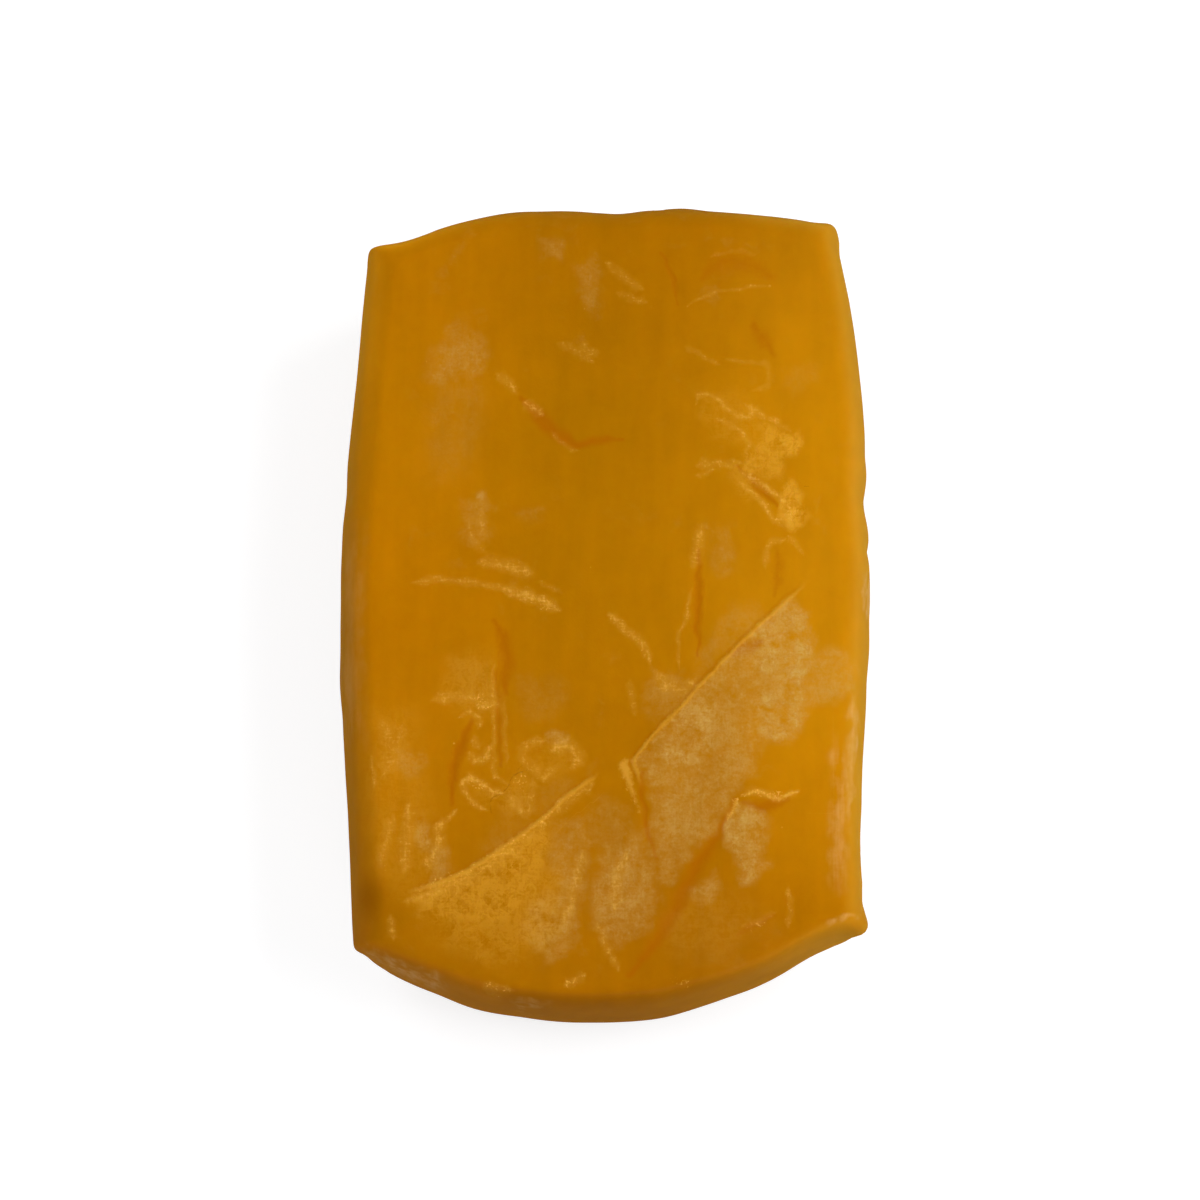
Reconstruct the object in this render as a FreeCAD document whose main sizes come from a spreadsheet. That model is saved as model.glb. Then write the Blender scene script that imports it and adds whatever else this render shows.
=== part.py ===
"""A block of semi-soft butter cheese, as it comes out of a tight vacuum pouch.

The block was soft when the pouch closed on it. Its four sides bulge like a barrel, the end that
faces the viewer bows out most, and the upper corners are pinched into small ears. The top is a
low crown that carries the ridges of two folds in the film, and the underside rests on a flat.

The block is one PartDesign body: sketched outlines, one above the other, are lofted into the
pillow, its underside is trimmed level, and the ridges are lofted along the folds.

Frame: +X to the right, +Y towards the far end, +Z up, origin on the table under the middle of
the block. All sizes are in millimetres.
"""

import FreeCAD
import Part
import Sketcher
import math
import os

Vector = FreeCAD.Vector

doc = FreeCAD.newDocument("butter_cheese")

# ---------------------------------------------------------------------------------------------
# Driving dimensions
# ---------------------------------------------------------------------------------------------

DRIVING = [
    # name, value, what it is
    ("block_height", 40.0, "resting flat to the top of the crown"),
    ("crown_rise", 2.4, "how far the top swells from its edge to its middle"),
    ("widest_height", 19.0, "where the sides stand out furthest"),
    ("foot_trim", 0.5, "what the underside loses to the resting flat"),
    ("ear_height", 34.0, "height of the pinched corners"),
    ("ear_reach", 9.0, "how far above and below a corner stays pinched"),
    # The plan: four corners, and each side's bulge past the line between its corners.
    ("near_left_x", -39.6, "near left corner"),
    ("near_left_y", -55.1, "near left corner"),
    ("near_right_x", 40.6, "near right corner"),
    ("near_right_y", -52.0, "near right corner"),
    ("far_right_x", 37.0, "far right corner"),
    ("far_right_y", 61.9, "far right corner"),
    ("far_left_x", -38.8, "far left corner"),
    ("far_left_y", 57.9, "far left corner"),
    ("left_bulge", 2.9, "left side"),
    ("right_bulge", 3.8, "right side"),
    ("near_bulge", 10.9, "near end"),
    ("far_bulge", 5.0, "far end"),
    # How far the rim of the top, and the resting flat, stand in from the widest outline.
    ("left_round", 6.2, "upper edge of the left side"),
    ("right_round", 4.8, "upper edge of the right side"),
    ("near_round", 3.2, "upper edge of the near end"),
    ("far_round", 6.0, "upper edge of the far end"),
    ("foot_round", 8.0, "lower edge, all round"),
    # The ridges that the folds of the film have left on the top.
    ("ridge_rise", 0.45, "a ridge's crest above the top"),
    ("ridge_width", 1.5, "a ridge where it meets the top"),
    ("ridge_root", 1.2, "how deep a ridge is rooted in the block"),
]

sheet = doc.addObject("Spreadsheet::Sheet", "sizes")
for row, (name, value, note) in enumerate(DRIVING, start=1):
    sheet.set(f"A{row}", name)
    sheet.set(f"B{row}", str(value))
    sheet.set(f"C{row}", note)
    sheet.setAlias(f"B{row}", name)
doc.recompute()


def size(name):
    return float(getattr(sheet, name))


# ---------------------------------------------------------------------------------------------
# The plan: a unit square, bent to the block's outline
# ---------------------------------------------------------------------------------------------

# Each bulge dies away towards its two corners with these powers. A power over 1 ends the bulge
# in a hollow, which leaves the corner standing out as an ear.
LEFT_POWERS = (2.1, 2.25)  # towards the far corner, towards the near corner
RIGHT_POWERS = (0.9, 1.75)
NEAR_POWERS = (1.35, 1.25)  # towards the right corner, towards the left corner
FAR_POWERS = (0.9, 0.85)

# Shallow waves that the film's folds have pressed into the ends and the right side: where
# along the side (-1 to 1), how wide and how far out, the last two in millimetres.
FAR_WAVES = [(-0.82, 3.5, -0.6), (-0.42, 8.0, 1.0), (0.06, 3.2, -1.0), (0.22, 1.6, -0.3)]
RIGHT_WAVES = [(0.22, 3.0, -0.6), (0.03, 3.0, 0.3), (-0.62, 6.0, -0.5)]
NEAR_WAVES = [(0.81, 3.5, 0.6), (0.52, 6.0, -0.4)]

HALF_WIDTH = 42.0  # rough half sizes, which turn millimetres into shares of the unit square
HALF_LENGTH = 64.5


def bulge(place, powers):
    """From 0 at either corner (place -1 or 1) to 1 where the side stands out most."""
    after, before = powers
    peak = (before - after) / (before + after)
    highest = (1 - peak) ** after * (1 + peak) ** before
    return max(0.0, 1 - place) ** after * max(0.0, 1 + place) ** before / highest


def ripple(place, half, waves):
    """The sum of the waves at that place on a side whose half length is given."""
    return sum(rise * math.exp(-(((place - centre) * half / width) ** 2))
               for centre, width, rise in waves)


def between(start, end, place):
    """The value at place -1 to 1 on the way from start to end."""
    return start + (end - start) * (place + 1) / 2


def plan_point(across, along):
    """The unit square's point (-1 to 1, left to right and near to far) on the bent plan."""
    left = between(size("near_left_x"), size("far_left_x"), along)
    left -= size("left_bulge") * bulge(along, LEFT_POWERS)
    right = between(size("near_right_x"), size("far_right_x"), along)
    right += size("right_bulge") * bulge(along, RIGHT_POWERS)
    right += ripple(along, HALF_LENGTH, RIGHT_WAVES)
    near = between(size("near_left_y"), size("near_right_y"), across)
    near -= size("near_bulge") * bulge(across, NEAR_POWERS)
    near += ripple(across, HALF_WIDTH, NEAR_WAVES)
    far = between(size("far_left_y"), size("far_right_y"), across)
    far += size("far_bulge") * bulge(across, FAR_POWERS)
    far += ripple(across, HALF_WIDTH, FAR_WAVES)
    return Vector(between(left, right, across), between(near, far, along), 0)


# ---------------------------------------------------------------------------------------------
# The profile: how the outline draws in towards the foot, the rim and the crown
# ---------------------------------------------------------------------------------------------

FOOT_SQUARENESS = 2.4  # 2 is an ellipse, and more is a squarer edge
RIM_SQUARENESS = 2.6
NEAR_SQUARENESS = 3.4
LEVELS = 26
SMALLEST = 0.05  # size of the last outline on the crown, as a share of the whole plan


def drawn_in(share, squareness):
    """How far an edge has drawn in, 0 to 1, at that share of its height."""
    return 1 - (1 - min(share, 1.0) ** squareness) ** (1 / squareness)


def height_mix(turn):
    """How much of the foot's, the widest and the rim's height, and of the crown's rise, adds up
    to a level's height. turn runs from 0 at the foot over 1 at the widest height and 2 at the
    rim of the top to 3 at the middle of the crown. The crown swells from the side inwards, so
    that the profile stays convex over the rim."""
    if turn <= 1:
        share = math.cos(turn * math.pi / 2) ** (2 / FOOT_SQUARENESS)
        return share, 1 - share, 0, 0
    share = math.sin(min(turn - 1, 1) * math.pi / 2) ** (2 / RIM_SQUARENESS)
    inset = size("left_round") / HALF_WIDTH * drawn_in(share, RIM_SQUARENESS)
    inset += (1 - inset) * max(0.0, turn - 2)
    return 0, 1 - share, share, 1 - (1 - inset) ** 2


def level_height(turn):
    """That level's height in millimetres."""
    foot, widest, rim, crown = height_mix(turn)
    return (rim * size("block_height") + (crown - rim) * size("crown_rise")
            + widest * size("widest_height") - foot * size("foot_trim"))


def height_formula(turn):
    """That level's height, as an expression on the sheet's cells."""
    foot, widest, rim, crown = height_mix(turn)
    return (f"({rim:.6f} * sizes.block_height + {crown - rim:.6f} * sizes.crown_rise"
            f" + {widest:.6f} * sizes.widest_height - {foot:.6f} * sizes.foot_trim) * 1 mm")


def half_sizes(turn):
    """That level's half sizes (right, far, left, near), in the unit square."""
    foot, widest, rim, crown = height_mix(turn)
    if turn <= 1:
        inset = size("foot_round") * drawn_in(foot, FOOT_SQUARENESS)
        across, along = 1 - inset / HALF_WIDTH, 1 - inset / HALF_LENGTH
        return across, along, across, along
    soft, tight = drawn_in(rim, RIM_SQUARENESS), drawn_in(rim, NEAR_SQUARENESS)
    halves = [
        1 - size("right_round") * soft / HALF_WIDTH,
        1 - size("far_round") * soft / HALF_LENGTH,
        1 - size("left_round") * soft / HALF_WIDTH,
        1 - size("near_round") * tight / HALF_LENGTH,
    ]
    inwards = max(0.0, turn - 2)
    return tuple(SMALLEST + (half - SMALLEST) * (1 - inwards) for half in halves)


def even_turns(count):
    """count values of turn that lie evenly spaced along the profile's own length."""
    steps = 1200
    turns = [3 * step / steps for step in range(steps + 1)]
    places = [(level_height(turn), half_sizes(turn)[2] * HALF_WIDTH) for turn in turns]
    run = [0.0]
    for (h0, w0), (h1, w1) in zip(places, places[1:]):
        run.append(run[-1] + math.hypot(h1 - h0, w1 - w0))
    chosen = []
    for number in range(count):
        target = run[-1] * number / (count - 1)
        chosen.append(next(t for t, r in zip(turns, run) if r >= target - 1e-9))
    return chosen


# ---------------------------------------------------------------------------------------------
# The outline at one level
# ---------------------------------------------------------------------------------------------

POINTS_PER_SIDE = 17
FOOT_CORNER = 8.0  # a higher power leaves a smaller corner round
SIDE_CORNER = 18.0
CROWN_CORNER = 3.0
CORNER_PINCH = {(1, 1): 0.9, (-1, 1): 1.0, (-1, -1): 1.0, (1, -1): 1.0}  # full is a point


def corner_power(turn):
    """The power of the outline's corner rounds at that level."""
    if turn <= 1:
        return FOOT_CORNER + (SIDE_CORNER - FOOT_CORNER) * height_mix(turn)[1]
    return SIDE_CORNER + (CROWN_CORNER - SIDE_CORNER) * max(0.0, turn - 2)


def pinch(turn, across, along):
    """How sharp the corner on that side of the plan is: 1 is a point, and 0 is a round."""
    away = (level_height(turn) - size("ear_height")) / size("ear_reach")
    fade = max(0.0, 3 - turn) if turn > 2 else 1.0
    corner = (1 if across > 0 else -1, 1 if along > 0 else -1)
    return CORNER_PINCH[corner] * math.exp(-away * away) * fade


def side_points(side, turn):
    """Points along one side of the outline, corner to corner, anticlockwise. The sides are
    0 right, 1 far, 2 left and 3 near."""
    halves = half_sizes(turn)
    power = corner_power(turn)
    points = []
    for number in range(POINTS_PER_SIDE):
        # The sine crowds the points towards the corners, where the outline turns.
        place = math.sin((number / (POINTS_PER_SIDE - 1) - 0.5) * math.pi)
        across, along = [(1, place), (-place, 1), (-1, -place), (place, -1)][side]
        reach = (1 + abs(place) ** power) ** (-1 / power)
        reach += pinch(turn, across, along) * (1 - reach)
        across *= halves[0] if across > 0 else halves[2]
        along *= halves[1] if along > 0 else halves[3]
        points.append(plan_point(across * reach, along * reach))
    return points


def outline(body, plane, number, turn):
    """A sketch of the block's outline at one level."""
    sketch = body.newObject("Sketcher::SketchObject", f"outline_{number:02d}")
    sketch.AttachmentSupport = [(plane, "")]
    sketch.MapMode = "FlatFace"
    sketch.setExpression("AttachmentOffset.Base.z", height_formula(turn))
    for side in range(4):
        curve = Part.BSplineCurve()
        curve.interpolate(side_points(side, turn))
        sketch.addGeometry(curve, False)
    for side in range(4):
        sketch.addConstraint(Sketcher.Constraint("Coincident", side, 2, (side + 1) % 4, 1))
    return sketch


body = doc.addObject("PartDesign::Body", "cheese_block")
body.Label = "cheese_block"
origin = {feature.Role: feature for feature in body.Origin.OriginFeatures}
outlines = [outline(body, origin["XY_Plane"], n, t) for n, t in enumerate(even_turns(LEVELS))]
doc.recompute()
pillow = body.newObject("PartDesign::AdditiveLoft", "pillow")
pillow.Profile = outlines[0]
pillow.Sections = outlines[1:]
pillow.Ruled = False
pillow.Closed = False
doc.recompute()

# ---------------------------------------------------------------------------------------------
# The resting flat: what the underside pressed level
# ---------------------------------------------------------------------------------------------

TRIM_REACH = 80.0  # half side of the trimming square, past the block all round

square = body.newObject("Sketcher::SketchObject", "trim_outline")
square.AttachmentSupport = [(origin["XY_Plane"], "")]
square.MapMode = "FlatFace"
corners = [Vector(x, y, 0) * TRIM_REACH for x, y in [(-1, -1), (1, -1), (1, 1), (-1, 1)]]
for start, end in zip(corners, corners[1:] + corners[:1]):
    square.addGeometry(Part.LineSegment(start, end), False)
for side in range(4):
    square.addConstraint(Sketcher.Constraint("Coincident", side, 2, (side + 1) % 4, 1))
flat = body.newObject("PartDesign::Pocket", "resting_flat")
flat.Profile = square
flat.Type = "ThroughAll"
doc.recompute()

# ---------------------------------------------------------------------------------------------
# The ridges: cheese that filled two folds of the film
# ---------------------------------------------------------------------------------------------

# Places on the top that each fold runs through, from its end at the side to its end in the
# middle, where the two nearly meet.
LEFT_FOLD = [(-31.2, -47.5), (-18.3, -42.3), (-10.7, -37.0), (-5.4, -32.3), (-0.3, -28.6)]
RIGHT_FOLD = [(32.1, 1.9), (24.0, -5.7), (17.8, -12.0), (10.0, -20.6), (4.8, -26.4)]
SECTIONS = 9
END_RISE = 0.35  # a ridge's rise at its two ends, as a share of its full rise

Y_AXIS = -2  # Sketcher's number for a sketch's own vertical axis, and for its origin below
ORIGIN = -1


def top_height(feature, x, y):
    """The height of the top at that place, once that feature is made."""
    middle = Vector(x, y, size("block_height") / 2)
    above = Vector(x, y, size("block_height") * 2)
    return Part.makeLine(middle, above).common(feature.Shape).BoundBox.ZMax


def ridge_section(name, place, ahead, share):
    """A sketch of the ridge's triangle, square to the fold at that place of the top. Its root
    lies in the block, and its crest stands above the top by that share of the full rise."""
    sketch = body.newObject("Sketcher::SketchObject", name)
    sketch.AttachmentSupport = [(origin["XY_Plane"], "")]
    sketch.MapMode = "FlatFace"
    sideways = Vector(-ahead.y, ahead.x, 0)
    turned = FreeCAD.Rotation(sideways, Vector(0, 0, 1), Vector(ahead.x, ahead.y, 0), "ZYX")
    seat = Vector(place.x, place.y, top_height(flat, place.x, place.y))
    sketch.AttachmentOffset = FreeCAD.Placement(seat, turned)
    half, root, rise = size("ridge_width"), size("ridge_root"), size("ridge_rise")
    left, right, crest = Vector(-half, -root, 0), Vector(half, -root, 0), Vector(0, rise, 0)
    for start, end in [(left, right), (right, crest), (crest, left)]:
        sketch.addGeometry(Part.LineSegment(start, end), False)
    for line in range(3):
        sketch.addConstraint(Sketcher.Constraint("Coincident", line, 2, (line + 1) % 3, 1))
    sketch.addConstraint(Sketcher.Constraint("Symmetric", 0, 1, 0, 2, Y_AXIS))
    sketch.addConstraint(Sketcher.Constraint("PointOnObject", 1, 2, Y_AXIS))
    measures = [
        ("base", Sketcher.Constraint("DistanceX", 0, 1, 0, 2, 2 * half),
         "sizes.ridge_width * (sizes.ridge_rise + sizes.ridge_root) / sizes.ridge_rise * 1 mm"),
        ("root", Sketcher.Constraint("DistanceY", 0, 1, ORIGIN, 1, root), "sizes.ridge_root * 1 mm"),
        ("crest", Sketcher.Constraint("DistanceY", ORIGIN, 1, 1, 2, rise),
         f"sizes.ridge_rise * {share:.4f} * 1 mm"),
    ]
    for label, constraint, formula in measures:
        number = sketch.addConstraint(constraint)
        sketch.renameConstraint(number, label)
        sketch.setExpression(f"Constraints.{label}", formula)
    return sketch


def ridge(name, fold):
    """A ridge lofted along that fold, which grows from its two ends to its middle."""
    line = Part.BSplineCurve()
    line.interpolate([Vector(x, y, 0) for x, y in fold])
    sections = []
    for number, place in enumerate(line.discretize(Number=SECTIONS)):
        ahead = line.tangent(line.parameter(place))[0]
        swell = math.sin(math.pi * number / (SECTIONS - 1)) ** 0.5
        share = END_RISE + (1 - END_RISE) * swell
        sections.append(ridge_section(f"{name}_{number}", place, ahead, share))
    doc.recompute()
    loft = body.newObject("PartDesign::AdditiveLoft", name)
    loft.Profile = sections[0]
    loft.Sections = sections[1:]
    loft.Ruled = False
    doc.recompute()
    return loft


left_ridge = ridge("left_fold_ridge", LEFT_FOLD)
right_ridge = ridge("right_fold_ridge", RIGHT_FOLD)
body.Tip = right_ridge
doc.recompute()

# ---------------------------------------------------------------------------------------------
# Placement, checks and export
# ---------------------------------------------------------------------------------------------

extent = body.Shape.optimalBoundingBox()
body.Placement = FreeCAD.Placement(Vector(-extent.Center.x, -extent.Center.y, 0), FreeCAD.Rotation())
doc.recompute()

for thing in doc.Objects:
    if "Invalid" in thing.State or "Error" in thing.State:
        raise RuntimeError(f"{thing.Name} failed: {thing.State}")
if body.Shape.isNull() or not body.Shape.isValid() or len(body.Shape.Solids) != 1:
    raise RuntimeError("the block isn't one valid solid")
if flat.Shape.Volume >= pillow.Shape.Volume:
    raise RuntimeError("the resting flat took nothing off the underside")
for loft, fold in [(left_ridge, LEFT_FOLD), (right_ridge, RIGHT_FOLD)]:
    x, y = fold[len(fold) // 2]
    crest = top_height(loft, x, y) - top_height(flat, x, y)
    print(f"{loft.Name}: crest {crest:.2f} mm above the top")
    if crest < size("ridge_rise") / 2:
        raise RuntimeError(f"{loft.Name} doesn't stand out of the top")

extent = body.Shape.optimalBoundingBox()
print(f"cheese_block: {extent.XLength:.1f} x {extent.YLength:.1f} x {extent.ZLength:.1f} mm,"
      f" {body.Shape.Volume / 1000:.1f} cm3, {len(body.Shape.Faces)} faces")
os.makedirs("parts", exist_ok=True)
body.Shape.exportStep(f"parts/{body.Label}.step")
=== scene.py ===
# %% [markdown]
# # A block of butter cheese
#
# The real thing is a 400 g block of soft yellow cheese that was pressed in a bag of film. The film gave
# it a swelling pillow shape with pinched ears at its corners, two fold ridges across its top, and a
# skin that is smooth and waxy in some places and hazy with a dry bloom in others.
#
# This lesson dresses the plain solid that holds the block's size. It goes from the large to the small:
# a fine skin over the solid, the marks as fields of numbers on that skin, the relief that they press
# into it, the cheese's own material, and at last the floor, the lights and the camera.

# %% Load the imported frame
import math

import bmesh
import bpy
import numpy as np
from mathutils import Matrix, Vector, noise
from mathutils.bvhtree import BVHTree


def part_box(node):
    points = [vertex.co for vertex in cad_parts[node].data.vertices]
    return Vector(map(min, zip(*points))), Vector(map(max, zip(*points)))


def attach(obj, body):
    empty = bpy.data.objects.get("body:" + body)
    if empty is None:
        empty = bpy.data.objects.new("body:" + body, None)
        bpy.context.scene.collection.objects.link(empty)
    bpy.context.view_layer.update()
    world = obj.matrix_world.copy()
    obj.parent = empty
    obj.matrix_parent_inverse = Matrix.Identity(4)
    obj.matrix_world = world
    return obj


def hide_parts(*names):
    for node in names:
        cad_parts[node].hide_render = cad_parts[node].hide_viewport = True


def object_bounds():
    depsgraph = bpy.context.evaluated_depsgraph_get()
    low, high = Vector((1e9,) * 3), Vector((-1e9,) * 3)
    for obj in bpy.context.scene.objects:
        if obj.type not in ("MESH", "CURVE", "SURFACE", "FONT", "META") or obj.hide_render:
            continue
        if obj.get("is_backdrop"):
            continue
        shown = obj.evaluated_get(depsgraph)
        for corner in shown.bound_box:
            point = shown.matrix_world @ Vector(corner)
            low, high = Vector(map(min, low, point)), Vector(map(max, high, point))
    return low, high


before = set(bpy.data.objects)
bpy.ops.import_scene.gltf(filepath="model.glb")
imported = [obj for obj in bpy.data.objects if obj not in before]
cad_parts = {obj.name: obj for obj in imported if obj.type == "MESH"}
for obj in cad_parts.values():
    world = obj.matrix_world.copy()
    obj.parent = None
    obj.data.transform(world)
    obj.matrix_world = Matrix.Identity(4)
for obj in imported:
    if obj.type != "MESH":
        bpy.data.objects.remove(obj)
cad_low, cad_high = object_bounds()
block_low, block_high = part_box("cheese_block")
print("block from", tuple(round(v, 4) for v in block_low), "to", tuple(round(v, 4) for v in block_high))

# %% [markdown]
# ## Working in millimetres
#
# Every mark on the cheese is a few tenths of a millimetre to a few millimetres wide, so the lesson
# works in millimetres and goes back to metres when it builds the mesh. The half sizes come from the
# solid. x runs to the right, y away from the viewer and z up, and the middle of the block is at 0, 0.

# %% The block's sizes in millimetres
MM = 0.001
half_width = (block_high.x - block_low.x) / 2 / MM
half_length = (block_high.y - block_low.y) / 2 / MM
height = block_high.z / MM
middle = np.array([block_low.x + block_high.x, block_low.y + block_high.y, 0]) / 2 / MM
print(f"half width {half_width:.1f}, half length {half_length:.1f}, height {height:.1f} mm")


def smooth_step(low, high, values):
    """0 below low, 1 above high, and a soft S between them."""
    share = np.clip((values - low) / (high - low), 0, 1)
    return share * share * (3 - 2 * share)


# %% [markdown]
# ## A fine skin over the solid
#
# The solid is made of long thin facets, which would show as kinks under a soft light, and it is too
# coarse for fine marks. A remesh would give a finer skin, but its squares run across the form. Here
# rays are shot from a small core inside the block out through a grid on a box around it. Each ray ends
# on the solid, so the grid keeps its even rows and they follow the rim.

# %% Shoot the grid onto the solid
TOP_STEP = 0.5
CORE_DEPTH = 16
CORE_HEIGHT = 19
WALL_HEIGHTS = [*np.linspace(39.2, 28, 15), *np.linspace(26.8, 4, 14), 2.2, 0.6]
UNDERSIDE_STEPS = [1.5, 3.5, 6, 10]

solid_tree = BVHTree.FromObject(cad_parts["cheese_block"], bpy.context.evaluated_depsgraph_get())


def cast(targets):
    """Where rays from the core through these points leave the solid."""
    room = np.array([half_width - CORE_DEPTH, half_length - CORE_DEPTH])
    starts = targets.copy()
    starts[:, :2] = np.clip(targets[:, :2], -room, room)
    starts[:, 2] = CORE_HEIGHT
    hits = np.empty_like(targets)
    for index, (start, target) in enumerate(zip(starts, targets)):
        direction = Vector(target - start).normalized()
        hit = solid_tree.ray_cast(Vector((start + middle) * MM), direction)[0]
        hits[index] = np.array(hit) / MM - middle
    return hits


columns = round(2 * half_width / TOP_STEP)
rows = round(2 * half_length / TOP_STEP)
across = np.linspace(-half_width, half_width, columns + 1)
along = np.linspace(-half_length, half_length, rows + 1)
grid_x, grid_y = np.meshgrid(across, along, indexing="ij")
top_targets = np.stack([grid_x.ravel(), grid_y.ravel(), np.full(grid_x.size, height)], 1)
number = np.arange(grid_x.size).reshape(grid_x.shape)
rim = np.concatenate([number[:-1, 0], number[-1, :-1], number[:0:-1, -1], number[0, :0:-1]])
rim_plan = top_targets[rim, :2]
ring_targets = [np.column_stack([rim_plan, np.full(len(rim), z)]) for z in WALL_HEIGHTS]
for step in UNDERSIDE_STEPS:
    inner = 1 - step / np.array([half_width, half_length])
    ring_targets.append(np.column_stack([rim_plan * inner, np.zeros(len(rim))]))
points = cast(np.concatenate([top_targets, *ring_targets]))
print(len(points), "points on the solid,", len(rim), "of them round the rim")

# %% Join the points into faces
corners = number[:-1, :-1], number[1:, :-1], number[1:, 1:], number[:-1, 1:]
faces = np.stack([c.ravel() for c in corners], 1).tolist()
ring = rim
for level in range(len(ring_targets)):
    lower = grid_x.size + level * len(rim) + np.arange(len(rim))
    faces += np.stack([ring, lower, np.roll(lower, -1), np.roll(ring, -1)], 1).tolist()
    ring = lower
faces.append(ring[::-1].tolist())
mesh = bpy.data.meshes.new("butter_cheese_skin")
mesh.from_pydata(points.tolist(), [], faces)
print(len(mesh.polygons), "faces, the last of them the flat underside")

# %% [markdown]
# ## Smooth the facets away
#
# Averaging each point with its neighbours takes the facets out, and also shrinks the form a little.
# On the broad top that costs nothing, because averaging leaves a flat place where it is. On the tight
# rounding of the rim it would show. So a few rounds go everywhere, and the many rounds that a long
# facet needs go only where the surface hardly bends.

# %% Average where the form is broad
FEW_ROUNDS = 8
MANY_ROUNDS = 120
BROAD_BEND = 0.002
TIGHT_BEND = 0.008

edge_ends = np.empty(len(mesh.edges) * 2, np.int32)
mesh.edges.foreach_get("vertices", edge_ends)
first, second = edge_ends.reshape(-1, 2).T
neighbours = np.bincount(first, minlength=len(points)) + np.bincount(second, minlength=len(points))


def neighbour_mean(values):
    """The mean of each point's neighbours, column by column."""
    total = np.zeros_like(values)
    for column in range(values.shape[1]):
        total[:, column] = np.bincount(first, values[second, column], len(values))
        total[:, column] += np.bincount(second, values[first, column], len(values))
    return total / neighbours[:, None]


smooth = points.copy()
for turn in range(FEW_ROUNDS):
    smooth += 0.5 * (neighbour_mean(smooth) - smooth)
bend = np.linalg.norm(neighbour_mean(smooth) - smooth, axis=1)[:, None]
for turn in range(FEW_ROUNDS):
    bend = neighbour_mean(bend)
broad = 1 - smooth_step(BROAD_BEND, TIGHT_BEND, bend)
for turn in range(MANY_ROUNDS):
    smooth += 0.5 * broad * (neighbour_mean(smooth) - smooth)
moved = np.linalg.norm(smooth - points, axis=1)
print(f"smoothing moved the points by {moved.mean():.3f} mm on average, {moved.max():.3f} at most")

# %% [markdown]
# ## The marks on the top
#
# The film left its marks by hand, as it were: no pattern repeats. So each mark is a short line through
# a few points in the plan of the block, in millimetres, with a width. A smooth curve through the points
# gives the line its sweep. Patches of bloom are outlines in the same way. They could be painted in an
# image, but lines keep their sharpness at any distance and can also press relief into the mesh.

# %% Lines and patches in the plan
def curve(knots, step=0.35):
    """Points close together on a smooth curve through the knots."""
    knots = np.array(knots, float)
    padded = np.vstack([2 * knots[0] - knots[1], knots, 2 * knots[-1] - knots[-2]])
    found = []
    for a, b, c, d in zip(padded, padded[1:], padded[2:], padded[3:]):
        share = np.linspace(0, 1, max(2, round(np.linalg.norm(c - b) / step)), endpoint=False)[:, None]
        bow = (2 * a - 5 * b + 4 * c - d) * share**2 + (3 * b - a - 3 * c + d) * share**3
        found.append(b + 0.5 * ((c - a) * share + bow))
    return np.vstack([*found, knots[-1:]])


def to_line(plan, knots):
    """Each plan point's distance to the line, its share of the way along, and its side: right is above 0."""
    path = curve(knots)
    starts = path[:-1]
    runs = np.diff(path, axis=0)
    lengths = np.linalg.norm(runs, axis=1)
    gone = np.concatenate([[0], np.cumsum(lengths)])
    best = np.full(len(plan), 1e9)
    share = np.zeros(len(plan))
    side = np.zeros(len(plan))
    for start, run, length, before in zip(starts, runs, lengths, gone):
        offset = plan - start
        part = np.clip(offset @ run / length**2, 0, 1)
        gap = offset - part[:, None] * run
        distance = np.hypot(gap[:, 0], gap[:, 1])
        nearer = distance < best
        best[nearer] = distance[nearer]
        share[nearer] = ((before + part * length) / gone[-1])[nearer]
        side[nearer] = np.sign(offset[:, 1] * run[0] - offset[:, 0] * run[1])[nearer] * -1
    return best, share, side


def to_outline(plan, knots):
    """How deep each plan point lies inside a closed outline, below 0 outside it."""
    closed = [*knots, knots[0]]
    depth, _, _ = to_line(plan, closed)
    path = curve(closed)
    inside = np.zeros(len(plan), bool)
    for (ax, ay), (bx, by) in zip(path, path[1:]):
        if ay != by:
            crosses = (ay > plan[:, 1]) != (by > plan[:, 1])
            inside ^= crosses & (plan[:, 0] < ax + (bx - ax) * (plan[:, 1] - ay) / (by - ay))
    return np.where(inside, depth, -depth)


print("a curve through 3 knots has", len(curve([(0, 0), (4, 1), (6, 5)])), "points")

# %% [markdown]
# ### The folds
#
# Where the film lay double it pressed two long ridges into the top, which meet off the middle. They
# are the one bold feature of the block. A third, short fold hangs from their meeting place like a flap.
# They could be ridges of the solid alone, and the solid has them too, but plainer than they are here.

# %% Fold ridges
LEFT_FOLD = [(-31.2, -47.5), (-24.5, -45.6), (-18.3, -42.3), (-10.7, -37), (-5.4, -32.3), (-0.3, -28.6)]
RIGHT_FOLD = [(32.1, 1.9), (24, -5.7), (17.8, -12), (10, -20.6), (4.8, -26.4), (5, -29), (6, -32)]
FLAP = [(1.9, -27.6), (3.5, -26.8), (4.4, -30.5), (5.3, -35.4), (3.9, -32), (2.7, -29.6)]
FLAP_SEAM = [(6, -32), (6.4, -36.5), (7.1, -39.5), (7.8, -42.5), (8, -48)]
FOLDS_MEET = 4
print("the folds are drawn through", len(LEFT_FOLD), "and", len(RIGHT_FOLD), "points")
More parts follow.
